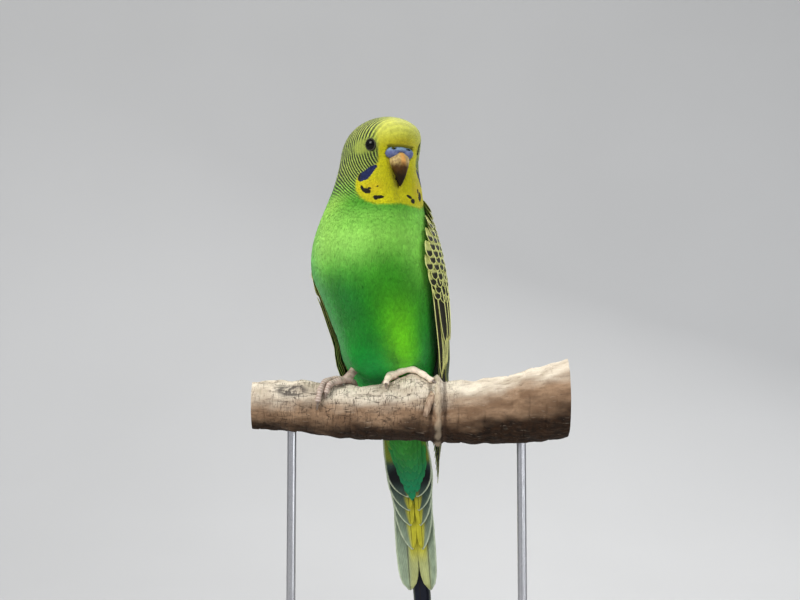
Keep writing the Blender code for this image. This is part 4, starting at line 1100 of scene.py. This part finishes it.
def loft(rings):
    """Points and faces of a closed loft through rings of equal length."""
    rings = np.array(rings)
    rows, sides = rings.shape[:2]
    points = np.concatenate((rings.reshape(-1, 3), rings[0].mean(0)[None], rings[-1].mean(0)[None]))
    first, last = np.arange(sides), (rows - 1) * sides + np.arange(sides)
    caps = (
        np.stack((np.roll(first, -1), first, np.full(sides, rows * sides)), -1),
        np.stack((last, np.roll(last, -1), np.full(sides, rows * sides + 1)), -1),
    )
    return points, [grid_faces(rows, sides, True), np.concatenate(caps)]


def ball(middle, radii, rows, sides, axes):
    """Points and faces of an ellipsoid."""
    v = np.linspace(-math.pi / 2, math.pi / 2, rows + 2)[1:-1]
    up, around = np.meshgrid(v, np.arange(sides) * 2 * math.pi / sides, indexing="ij")
    local = np.stack((np.cos(up) * np.cos(around), np.cos(up) * np.sin(around), np.sin(up)), -1)
    points, faces = loft(middle + local * np.array(radii) @ axes)
    points[-2], points[-1] = middle - axes[2] * radii[2], middle + axes[2] * radii[2]
    return points, faces


def join_parts(parts):
    """Several (points, faces) as one."""
    points, quads, triangles, start = [], [], [], 0
    for some, faces in parts:
        points.append(some)
        quads.append(faces[0] + start)
        triangles.append(faces[1] + start)
        start += len(some)
    return np.concatenate(points), [np.concatenate(quads), np.concatenate(triangles)]


# Height, half width, front, back
UPPER_BILL = (
    (187.6, 2.6, 14.8, 10.5), (187.0, 3.2, 16.2, 10.5), (185.8, 3.55, 17.2, 10.6),
    (184.2, 3.45, 18.0, 11.0), (182.2, 2.85, 18.1, 11.8), (180.7, 2.3, 17.8, 13.2),
    (179.4, 1.85, 17.4, 14.2), (177.6, 1.2, 16.6, 14.5), (176.3, 0.7, 15.9, 14.6),
    (175.5, 0.25, 15.4, 14.8),
)
LOWER_BILL = (
    (180.3, 1.7, 14.2, 10.8), (179.3, 1.6, 14.0, 10.8), (178.1, 1.25, 13.7, 11.1),
    (177.3, 0.8, 13.4, 11.8),
)
BILL_SIDES = 32


def bill_rings(table, steps, pinch):
    """Level rings of a bill, pinched to a ridge in front."""
    samples = sampled([(-row[0], *row[1:]) for row in table], 0.02)
    around = np.arange(BILL_SIDES) * 2 * math.pi / BILL_SIDES
    c, s = np.cos(around), np.sin(around)
    wide = np.sign(c) * np.abs(c) ** 0.85 * (1 - pinch * np.maximum(s, 0.0) ** 3)
    ahead = 0.5 + 0.5 * np.sign(s) * np.abs(s) ** 0.95
    rings = []
    for height in np.linspace(table[0][0], table[-1][0], steps):
        half, front, back = read(samples, -height)
        rings.append(head_point(half * wide, back + (front - back) * ahead, height))
    return rings


def make_bill():
    s = Shader("horn", 0.46, 0.12)
    level = s.number("height") + (s.noise(1.6) - 0.5) * 2.4
    tan = s.mottle(rgb(194, 168, 106), rgb(150, 126, 84), 0.9)
    tan = s.mix(s.number("ridge").ramp(0.2, 1.0, 0.0, 0.8), tan, rgb(206, 146, 72))
    colour = s.mix(level.ramp(184.2, 181.6), tan, rgb(66, 42, 12))
    colour = s.mix(level.ramp(181.4, 178.4), colour, rgb(28, 17, 5))
    streaks = s.noise(0.35, (1.0, 1.0, 0.12))
    s.put("Base Color", s.mix(streaks.ramp(0.55, 0.8, 0.0, 0.35), colour, rgb(60, 42, 30)))
    s.put("Roughness", s.noise(0.8).ramp(0.3, 0.7, 0.36, 0.52))
    s.bump(streaks, 0.05, 0.6)
    for part, table, steps, pinch in (("upper", UPPER_BILL, 40, 0.35), ("lower", LOWER_BILL, 14, 0.0)):
        points, faces = loft(bill_rings(table, steps, pinch))
        side, forward = head_places(points)
        ridge = ease(1.9, 0.1, np.abs(side)) * ease(15.0, 17.0, forward)
        numbers = {"height": points[:, 2], "ridge": ridge}
        nodes = (f"bill_{part}",)
        mesh_object(f"bill_{part}_horn", points, faces, "bill", s.material, nodes, None, numbers)


def make_cere():
    s = Shader("cere_skin", 0.55, 0.3)
    colour = s.mix(s.number("height").ramp(186.9, 188.8), rgb(84, 92, 134), rgb(132, 166, 192))
    colour = s.mix(s.noise(1.1).ramp(0.42, 0.7, 0.0, 0.6), colour, rgb(120, 128, 160))
    colour = s.mix(s.noise(0.7).ramp(0.56, 0.76, 0.0, 0.5), colour, rgb(52, 58, 92))
    # Near black in the nostrils' dents: painted shade of the openings.
    s.put("Base Color", s.mix(s.number("deep").ramp(0.08, 0.6), colour, rgb(8, 13, 14)))
    s.put("Subsurface Weight", 0.1)
    s.put("Subsurface Radius", (0.001, 0.0006, 0.0006))
    s.bump(s.noise(0.3), 0.05, 0.5)
    axes = turned(HEAD_TURN)
    lobes = [(way * 2.6, 14.4, 187.0) for way in (1.0, -1.0)]
    parts = [ball(head_point(*lobe), (2.6, 2.25, 2.0), 30, 40, axes) for lobe in lobes]
    parts.append(ball(head_point(0.0, 14.9, 188.0), (3.2, 1.85, 1.15), 20, 32, axes))
    points, faces = join_parts(parts)
    # How far into a nostril's dent each point lies, which paints it as shade.
    deep = np.zeros(len(points))
    for way in (1.0, -1.0):
        nostril = head_point(way * 2.8, 16.2, 188.55)
        near = np.linalg.norm((points - nostril) * np.array((1.0, 1.0, 1.15)), axis=-1)
        dent = ease(1.05, 0.6, near)
        swell = ease(1.45, 1.05, near) * ease(0.6, 1.0, near)
        points = points + axes[1] * (1.0 * dent - 0.14 * swell)[:, None]
        deep = np.maximum(deep, dent)
    numbers = {"height": points[:, 2], "deep": deep}
    mesh_object("cere_flesh", points, faces, "cere", s.material, ("cere",), None, numbers)


# For each eye: its side, how far it looks aside, how deep it sits, and how far the lid stands out
EYES = (("l", 1.0, 0.5, 0.7, -0.2), ("r", -1.0, 0.12, 0.0, 0.02))


def make_eyes():
    s = Shader("eye_gloss", 0.07, 0.16)
    s.put("Base Color", s.mix(s.number("pupil").ramp(0.80, 0.88), rgb(16, 11, 9), rgb(4, 4, 4)))
    s.bump(s.noise(0.6), 0.01, 0.2)
    lid = Shader("lid_skin", 0.6, 0.3)
    lid.put("Base Color", lid.mottle(rgb(66, 68, 44), rgb(38, 40, 26), 0.5, high=0.7))
    lid.bump(lid.cells(0.28), 0.08, 0.8)
    around, across = 72, 12
    a = (np.arange(around) * 2 * math.pi / around)[:, None]
    b = (np.arange(across) * 2 * math.pi / across)[None, :]
    thick = 0.17 + 0.05 * np.sin(a * 17.0) * np.maximum(np.sin(b), 0.0)
    r = 1.9 * (1.0 + 0.06 * np.sin(a) ** 2) + thick * 1.25 * np.cos(b)
    i, j = np.indices((around, across))
    k, m = (i + 1) % around * across, (j + 1) % across
    quads = np.stack((i * across + j, k + j, k + m, i * across + m), -1).reshape(-1, 4)
    for tag, way, lean, sunk, stand in EYES:
        angle = 270.0 + way * EYE_ANGLE
        opening, out = coat(EYE_HEIGHT, angle), coat_normal(EYE_HEIGHT, angle)
        out = unit(out + way * lean * turned(HEAD_TURN)[0])
        middle = opening - out * (math.sqrt(EYE_RADIUS**2 - EYE_OPENING**2) + sunk)
        flat = unit(np.cross(out, np.array((0.0, 0.0, 1.0))))
        up = np.cross(flat, out)
        axes = np.stack((flat, up, out))
        points, faces = ball(middle, (EYE_RADIUS - 0.1,) * 3, 26, 36, axes)
        numbers = {"pupil": unit(points - middle) @ out}
        nodes = (f"eye_{tag}",)
        mesh_object(f"eyeball_{tag}", points, faces, "eye", s.material, nodes, None, numbers)
        local = np.stack((r * np.cos(a), r * np.sin(a), thick * np.sin(b) + stand), -1)
        rings = opening + local @ axes
        mesh_object(f"eyelid_{tag}", rings.reshape(-1, 3), [quads], "cere", lid.material)


# Perch, feet and stand


def perch_axis(x):
    height, y, radius = read(PERCH_SAMPLES, x)
    return np.stack((x + 0 * height, PERCH_Y + y, height), -1), radius


def perch_point(x, angle, grow=0.0):
    """Points of the bark. Angle 0 is its top, and 90 the side in front."""
    x, angle = np.broadcast_arrays(np.asarray(x, float), np.asarray(angle, float))
    middle, radius = perch_axis(x)
    turn = (angle + 180.0) % 360.0 - 180.0
    radius = radius + KNOT_HEIGHT * bump_at(x, turn, KNOT_X, 0.0, KNOT_LENGTH, KNOT_ARC)
    radius = radius + RING_HEIGHT * np.exp(-(((x - RING_X) / RING_LENGTH) ** 2))
    away = np.radians(angle)
    way = np.stack((0 * away, -np.sin(away), np.cos(away)), -1)
    return middle + way * (radius + grow)[..., None]


def ripple(x, angle, sizes, seed):
    """Smooth bumps over the bark as a sum of waves, between about -1 and 1."""
    waves = np.random.default_rng(seed)
    total = np.zeros(x.shape)
    for long, arc, weight in sizes:
        for _ in range(5):
            fx = waves.normal(0.0, 1.0) / long
            fa = round(waves.normal(0.0, 1.0) * 360.0 / arc)
            turn = 2 * math.pi * (fx * x) + np.radians(angle) * fa + waves.uniform(0, 6.28)
            total = total + weight * np.sin(turn) / 2.2
    return total


def bark_material():
    s = Shader("bark", 0.9, 0.2)
    # Grey for the top, brown for the sides and near black for the underside: painted light and shade,
    # laid by how far up the bark faces.
    grey = s.mottle(rgb(222, 210, 190), rgb(186, 172, 152), 5.0, (0.4, 1.0, 1.0))
    brown = s.mottle(rgb(150, 122, 96), rgb(116, 90, 68), 4.0, (0.35, 1.0, 1.0))
    dark = s.mottle(rgb(46, 28, 13), rgb(28, 17, 8), 2.0)
    level = s.number("top") + (s.noise(6.0, (0.5, 1.0, 1.0)) - 0.5) * 0.9
    colour = s.mix(level.ramp(-0.1, 0.7), brown, grey)
    colour = s.mix(level.ramp(-0.2, -0.8), colour, dark)
    streak = s.noise(0.9, (0.14, 1.0, 1.0), 5.0, 0.65)
    colour = s.mix(streak.ramp(0.5, 0.72, 0.0, 0.42), colour, rgb(76, 58, 44))
    colour = s.mix(streak.ramp(0.42, 0.28, 0.0, 0.22), colour, rgb(190, 174, 156))
    wrinkle = s.noise(0.7, (1.6, 0.3, 0.3), 4.0, 0.6)
    sharp = s.number("sharp")
    colour = s.mix(wrinkle.ramp(0.54, 0.68, 0.0, 0.7) * sharp, colour, rgb(58, 42, 34))
    lengthways = abs(s.noise(2.2, (0.12, 1.0, 1.0), 2.0) - 0.5).ramp(0.004, 0.02, 1.0, 0.0)
    crossways = abs(s.noise(2.0, (1.5, 0.22, 0.22), 2.0) - 0.5).ramp(0.003, 0.016, 0.9, 0.0)
    crack = lengthways.op("MAXIMUM", crossways) * s.noise(3.0).ramp(0.38, 0.6) * sharp
    colour = s.mix(crack * 0.7, colour, rgb(48, 35, 28))
    fleck = s.noise(0.5, (0.5, 1.0, 1.0)).ramp(0.6, 0.78, 0.0, 0.4)
    colour = s.mix(fleck, colour, rgb(70, 56, 48))
    patch = s.number("patch").ramp(0.15, 0.6)
    patch = patch * s.noise(1.6, (0.6, 1.0, 1.0)).ramp(0.38, 0.56, 0.15, 0.85)
    colour = s.mix(patch, colour, rgb(62, 56, 54))
    ring = s.number("ring")
    colour = s.mix(ring.ramp(0.1, 0.9, 0.0, 0.4), colour, rgb(196, 178, 152))
    s.put("Base Color", s.mix(ring.ramp(-0.1, -0.9, 0.0, 0.6), colour, rgb(64, 46, 34)))
    s.put("Roughness", streak.ramp(0.3, 0.7, 0.95, 0.8))
    s.bump(streak * 0.7 + wrinkle * -0.5 - crack, 0.3, 0.8)
    return s.material


def wood_material():
    s = Shader("cut_wood", 0.8, 0.3)
    pith = s.number("from_pith")
    rings = ((pith + s.noise(6.0) * 3.0) * 4.6).op("SINE")
    tone = s.mix(rings.ramp(-0.3, 0.9), rgb(202, 176, 138), rgb(182, 150, 112))
    tone = s.mix(pith.ramp(0.6, 0.0, 0.0, 0.8), tone, rgb(110, 76, 48))
    s.put("Base Color", s.mix(s.noise(0.4).ramp(0.5, 0.8, 0.0, 0.3), tone, rgb(140, 104, 70)))
    s.bump(rings, 0.06, 0.6)
    return s.material


def make_perch():
    rows, sides = 330, 150
    x, angle = np.meshgrid(
        np.linspace(PERCH_LINE[0][0], PERCH_LINE[-1][0], rows),
        np.arange(sides) * 360.0 / sides, indexing="ij",
    )
    rough = 0.28 * ripple(x, angle, ((26.0, 120.0, 1.0), (9.0, 60.0, 0.6)), 3)
    fine = ripple(x, angle, ((14.0, 16.0, 0.7), (7.0, 9.0, 0.5)), 5)
    furrow = -0.32 * ease(0.35, 1.0, fine) + 0.1 * fine
    split = -0.3 * ease(0.75, 1.0, ripple(x, angle, ((2.6, 200.0, 0.7),), 8))
    grooves = np.exp(-(((x - 10.5) / 0.7) ** 2)) + np.exp(-(((x - 15.4) / 0.8) ** 2))
    uneven = 0.8 + 0.45 * ripple(x, angle, ((8.0, 40.0, 1.0),), 12)
    collar = np.exp(-(((x - RING_X) / 1.2) ** 2)) * uneven
    grow = rough + furrow + split - 0.1 - 0.45 * grooves + collar
    points = perch_point(x, angle, grow)
    # Numbers for the shader: how far up the bark faces, raised toward the left end and lowered toward
    # the right, which paints light on top and shade underneath; a dark scar, sharp cracks, and the ring
    top = np.cos(np.radians(angle)) + 0.2 * ease(-10.0, -34.0, x) - 0.3 * ease(18.0, 42.0, x)
    scar = bump_at(x, (angle - 53.0 + 180) % 360 - 180, -38.0, 0.0, 5.5, 17.0)
    sharp = ease(24.0, 12.0, x) * (0.45 + 0.55 * ease(-50.0, -38.0, x)) * 0.9 + 0.1
    numbers = {"top": top, "patch": scar, "sharp": sharp, "ring": collar / 0.9 - grooves}
    mesh_object(
        "perch_bark", points.reshape(-1, 3), [grid_faces(rows, sides, True)], "bark",
        bark_material(), ("perch",), None, numbers,
    )
    wood = wood_material()
    for tag, row, way in (("r", 0, -1.0), ("l", rows - 1, 1.0)):
        place = x[row, 0]
        middle = perch_axis(place)[0]
        rings = []
        for share in (1.0, 0.985, 0.93, 0.75, 0.5, 0.25, 0.08):
            ring = middle + (points[row] - middle) * share
            bulge = 0.0 if share == 1.0 else 0.35 * (1 - share) ** 0.3 - 0.15
            ring[:, 0] = place + way * bulge
            rings.append(ring)
        rings = np.array(rings)
        cut = np.concatenate((rings.reshape(-1, 3), rings[-1].mean(0)[None]))
        pith = np.concatenate((np.linalg.norm(rings - middle, axis=-1).ravel(), [0.0]))
        last = (len(rings) - 1) * sides + np.arange(sides)
        cap = np.stack((last, np.roll(last, -1), np.full(sides, len(cut) - 1)), -1)
        faces = [grid_faces(len(rings), sides, True), cap]
        if way < 0:
            faces = [part[:, ::-1] for part in faces]
        mesh_object(f"perch_cut_{tag}", cut, faces, "bark", wood, (), None, {"from_pith": pith})
    bends = (perch_point(12.0, 45.0, -3.0), perch_point(10.3, 72.5, 0.5), perch_point(8.6, 100.0, 0.8))
    path = smooth_path(bends, 10)
    t = np.linspace(0, 1, len(path))
    radii = np.interp(t, (0.0, 0.4, 0.8, 0.95, 1.0), (2.1, 1.35, 1.0, 0.85, 0.4))
    i, j = np.indices((len(path), 24))
    points, faces = tube(path, radii[:, None] + 0.12 * np.sin(j * 1.9 + 0.35 * i), 24)
    twig = Shader("twig", 0.85, 0.3)
    colour = twig.mottle(rgb(182, 158, 134), rgb(124, 100, 82), 1.0, (1.0, 1.0, 0.3), high=0.7)
    twig.put("Base Color", colour)
    twig.bump(twig.noise(0.5), 0.15, 0.8)
    mesh_object("perch_twig", points, faces, "bark", twig.material)


def smooth_path(points, steps):
    """A smooth curve through points, with this many steps between two of them."""
    points = [np.array(point, float) for point in points]
    found = []
    for i in range(len(points) - 1):
        before, after = points[max(i - 1, 0)], points[min(i + 2, len(points) - 1)]
        low, high = points[i], points[i + 1]
        square = 2 * before - 5 * low + 4 * high - after
        cube = 3 * low - before - 3 * high + after
        for t in np.arange(steps) / steps:
            found.append(0.5 * (2 * low + (high - before) * t + square * t**2 + cube * t**3))
    found.append(points[-1])
    return np.array(found)


def tube(path, radii, sides, crests=None):
    """A closed tube along a path. radii has a row for each ring, crests its first side's way."""
    around = np.arange(sides) * 2 * math.pi / sides
    c, s = np.cos(around)[:, None], np.sin(around)[:, None]
    rings, side = [], None
    for i, middle in enumerate(path):
        ahead = unit(path[min(i + 1, len(path) - 1)] - path[max(i - 1, 0)])
        if crests is not None:
            side = crests[i]
        elif side is None:
            side = np.array(Vector(ahead).orthogonal().normalized())
        side = unit(side - ahead * (side @ ahead))
        rings.append(middle + (side * c + np.cross(ahead, side) * s) * radii[i][:, None])
    return loft(rings)


# For each foot: its heel, and its toes' points, as x along the perch and angle round it
FEET = {
    "foot_r": (
        (-18.6, 4.0),
        (
            ((-22.5, 12.0), (-26.0, 32.0), (-27.6, 56.0), (-28.4, 78.0), (-28.7, 96.0)),
            ((-21.4, 22.0), (-24.4, 40.0), (-25.6, 58.0), (-26.0, 72.0)),
            ((-21.0, -18.0), (-23.4, -44.0), (-24.6, -70.0), (-25.0, -90.0)),
            ((-16.6, -20.0), (-15.2, -46.0), (-14.6, -66.0), (-14.4, -82.0)),
        ),
    ),
    "foot_l": (
        (-2.8, -2.0),
        (
            ((0.6, 4.0), (4.4, 10.0), (8.0, 18.0), (11.0, 28.0), (13.2, 38.0)),
            ((-4.2, 14.0), (-4.8, 28.0), (-4.8, 42.0)),
            ((0.0, -24.0), (2.2, -48.0), (3.4, -70.0), (3.8, -88.0)),
            ((-5.0, -24.0), (-6.6, -48.0), (-7.4, -68.0), (-7.8, -84.0)),
        ),
    ),
}
TOE_RADIUS, CLAW_RADIUS, CLAW_TIP = 1.25, 0.62, 0.14
TOE_STEPS, TOE_SIDES, CLAW_SIDES, SHANK_RINGS = 14, 18, 14, 24
FOOT_CLEAR = 0.3


def make_toe(places):
    """A toe laid round the bark: its flesh with grooves and crests, and its claw."""
    points = []
    for i, (x, angle) in enumerate(places):
        thick = CLAW_RADIUS if i >= len(places) - 2 else TOE_RADIUS
        thick = CLAW_TIP if i == len(places) - 1 else thick
        points.append(perch_point(x, angle, FOOT_CLEAR + thick + 0.1))
    path = smooth_path(points, TOE_STEPS)
    end = (len(places) - 2) * TOE_STEPS
    flesh, claw = path[: end + 3], path[end:]
    along = np.arange(len(flesh))
    pads = 0.10 * np.cos(2 * math.pi * along / TOE_STEPS)
    radii = TOE_RADIUS * (1.06 - 0.3 * along / end) + pads
    radii[-3:] *= (0.97, 0.85, 0.5)
    reach = np.concatenate(([0.0], np.cumsum(np.linalg.norm(np.diff(flesh, axis=0), axis=-1))))
    scute = np.abs(np.sin(math.pi * reach / 0.95))[:, None]
    turn = np.cos(2 * math.pi * np.arange(TOE_SIDES) / TOE_SIDES)[None, :]
    line = ease(0.45, 0.0, scute)
    crests = unit(flesh - perch_axis(flesh[:, 0])[0])
    piece = tube(flesh, radii[:, None] - 0.07 * line * (0.6 + 0.4 * turn), TOE_SIDES, crests)
    groove = (line * (0.5 + 0.5 * turn)).ravel()
    crest = (ease(0.6, 1.0, scute) * np.maximum(turn, 0.0)).ravel()
    t = np.linspace(0, 1, len(claw))
    thin = CLAW_RADIUS * (1 - t) + CLAW_TIP * t + 0.02
    return (piece, [*groove, 0, 0], [*crest, 0, 0]), tube(claw, thin[:, None], CLAW_SIDES)


def make_feet():
    skin = Shader("foot_scales", 0.62, 0.35)
    tone = skin.mottle(rgb(182, 160, 146), rgb(148, 128, 116), 1.6)
    tone = skin.mix(skin.number("groove").ramp(0.3, 1.0, 0.0, 0.45), tone, rgb(98, 80, 72))
    tone = skin.mix(skin.number("crest").ramp(0.2, 1.0, 0.0, 0.7), tone, rgb(214, 200, 186))
    # The left foot alone is painted paler than the right: painted light.
    pale = skin.number("pale") * skin.noise(1.2).ramp(0.3, 0.7, 0.65, 0.95)
    skin.put("Base Color", skin.mix(pale, tone, rgb(248, 230, 208)))
    skin.put("Subsurface Weight", 0.08)
    skin.put("Subsurface Radius", (0.001, 0.0005, 0.0004))
    skin.bump(skin.cells(0.45), 0.1, 0.7)
    horn = Shader("claw_horn", 0.35, 0.5)
    colour = horn.mottle(rgb(132, 116, 102), rgb(86, 72, 64), 0.6, (1.0, 1.0, 0.3), 0.3, 0.7)
    horn.put("Base Color", colour)
    horn.bump(horn.noise(0.3), 0.03, 0.5)
    for (name, (start, toes)), thigh in zip(FEET.items(), (THIGHS[1], THIGHS[0])):
        flesh, claws = zip(*[make_toe((start, *toe)) for toe in toes])
        parts = list(flesh)
        heel = perch_point(*start, FOOT_CLEAR + TOE_RADIUS + 0.3)
        low = np.array((thigh[0] - 1.0, PERCH_Y + thigh[1] + 5.0, thigh[2] - THIGH_RADII[2] * 0.45))
        t = np.linspace(0, 1, SHANK_RINGS)[:, None]
        line = ease(0.5, 0.0, np.abs(np.sin(math.pi * t * np.linalg.norm(low - heel) / 1.1)))
        radii = np.interp(t, (0, 0.3, 1), (1.75, 1.5, 1.5)) - 0.08 * line
        groove = [*np.repeat(line, TOE_SIDES), 0, 0]
        parts.append((tube(heel + (low - heel) * t, radii, TOE_SIDES), groove, np.zeros(len(groove))))
        palm = ball(heel, (2.2, 2.2, 1.55), 16, 24, np.eye(3))
        parts.append((palm, np.zeros(len(palm[0])), np.full(len(palm[0]), 0.35)))
        pieces, grooves, crests = zip(*parts)
        points, faces = join_parts(pieces)
        numbers = {
            "groove": np.concatenate(grooves), "crest": np.concatenate(crests),
            # Painted light on the left foot only.
            "pale": np.full(len(points), float(name == "foot_l")),
        }
        mesh_object(
            name + "_skin", points, faces, "foot_skin", skin.material, (name,), None, numbers
        )
        mesh_object(name + "_claws", *join_parts(claws), "foot_skin", horn.material)


def make_stand():
    """Materials for the stand, which keeps its own solids."""
    s = Shader("stand_paint", 0.5, 0.4)
    grain = s.noise(1.4, (0.07, 1.0, 1.0), 4.0, 0.6)
    tone = s.mix(grain.ramp(0.35, 0.7), rgb(204, 200, 192), rgb(184, 180, 171))
    s.put("Base Color", s.mix(s.noise(30.0).ramp(0.4, 0.7, 0.0, 0.25), tone, rgb(174, 169, 160)))
    s.put("Roughness", grain.ramp(0.3, 0.7, 0.42, 0.58))
    s.bump(grain, 0.12, 0.5)
    m = Shader("stand_metal", 0.28, 0.5, 1.0)
    brushed = m.noise(0.12, (1.0, 1.0, 0.03), 3.0)
    m.put("Base Color", m.mix(brushed.ramp(0.3, 0.7), rgb(196, 196, 198), rgb(160, 160, 164)))
    m.put("Roughness", brushed.ramp(0.3, 0.7, 0.2, 0.36))
    m.bump(brushed, 0.01, 0.4)
    for node, shader in (("stand_base", s), ("stand_rod_l", m), ("stand_rod_r", m)):
        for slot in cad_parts[node].material_slots:
            slot.material = shader.material


# Stage, lights and camera, in metres

AIM = (0.0, -0.015, 0.14)
LIGHTS = (
    ("key", (-0.8, -0.7, 0.75), (0.6, 0.5), 12.0, (1.0, 0.98, 0.95)),
    ("fill", (0.7, -0.7, 0.35), (0.8, 0.8), 4.0, (0.95, 0.98, 1.0)),
    ("top", (0.0, 0.1, 1.0), (0.8, 0.8), 4.5, (1.0, 1.0, 1.0)),
    ("back", (0.3, 0.6, 0.6), (0.6, 0.5), 3.0, (1.0, 1.0, 1.0)),
)
SKY, SKY_STRENGTH = (0.9, 0.93, 1.0, 1.0), 0.6
CAMERA_PLACE, CAMERA_TILT, LENS, SENSOR = (0.0, -0.645, 0.0687), 96.3, 81.0, 36.0
FLOOR_FRONT, FLOOR_SIDE, WALL, WALL_TOP, SWEEP = -9.0, 9.0, 1.0, 2.6, 0.5


def make_stage():
    """A floor that sweeps up into a wall behind the bird."""
    floor = Shader("backdrop", 0.9, 0.1)
    greys = (0.47, 0.47, 0.465), (0.5, 0.5, 0.495)
    floor.put("Base Color", floor.mottle(*greys, 400.0, EVEN, 0.3, 0.7))
    profile = [(FLOOR_FRONT, 0.0), (WALL - SWEEP, 0.0)]
    for i in range(1, 17):
        a = math.radians(90.0 * i / 16)
        profile.append((WALL - SWEEP + SWEEP * math.sin(a), SWEEP - SWEEP * math.cos(a)))
    profile.append((WALL, WALL_TOP))
    points = [(x, y, z) for x in (-FLOOR_SIDE, FLOOR_SIDE) for y, z in profile]
    n = len(profile)
    mesh = bpy.data.meshes.new("backdrop")
    mesh.from_pydata(points, [], [(i, n + i, n + i + 1, i + 1) for i in range(n - 1)])
    mesh.shade_smooth()
    mesh.materials.append(floor.material)
    made = bpy.data.objects.new("backdrop", mesh)
    bpy.context.scene.collection.objects.link(made)


def make_lights():
    for name, place, size, power, colour in LIGHTS:
        light = bpy.data.lights.new(name, "AREA")
        light.shape = "RECTANGLE"
        light.size, light.size_y = size
        light.energy = power
        light.color = colour
        made = bpy.data.objects.new(name, light)
        made.location = place
        made.rotation_mode = "QUATERNION"
        made.rotation_quaternion = (Vector(AIM) - Vector(place)).to_track_quat("-Z", "Y")
        bpy.context.scene.collection.objects.link(made)
    world = bpy.data.worlds.new("studio")
    world.use_nodes = True
    world.node_tree.nodes["Background"].inputs["Color"].default_value = SKY
    world.node_tree.nodes["Background"].inputs["Strength"].default_value = SKY_STRENGTH
    bpy.context.scene.world = world


def make_camera():
    """At the photograph's place: a little under the bird, looking up by a few degrees."""
    data = bpy.data.cameras.new("camera")
    data.sensor_width = SENSOR
    data.lens = LENS
    data.clip_start = 0.02
    made = bpy.data.objects.new("camera", data)
    made.location = CAMERA_PLACE
    made.rotation_euler = (math.radians(CAMERA_TILT), 0.0, 0.0)
    bpy.context.scene.collection.objects.link(made)
    bpy.context.scene.camera = made
    bpy.context.scene.view_settings.view_transform = "Standard"


make_camera()
make_stage()
make_lights()
make_coat()
make_wings()
make_tail()
make_bill()
make_cere()
make_eyes()
make_perch()
make_feet()
make_stand()
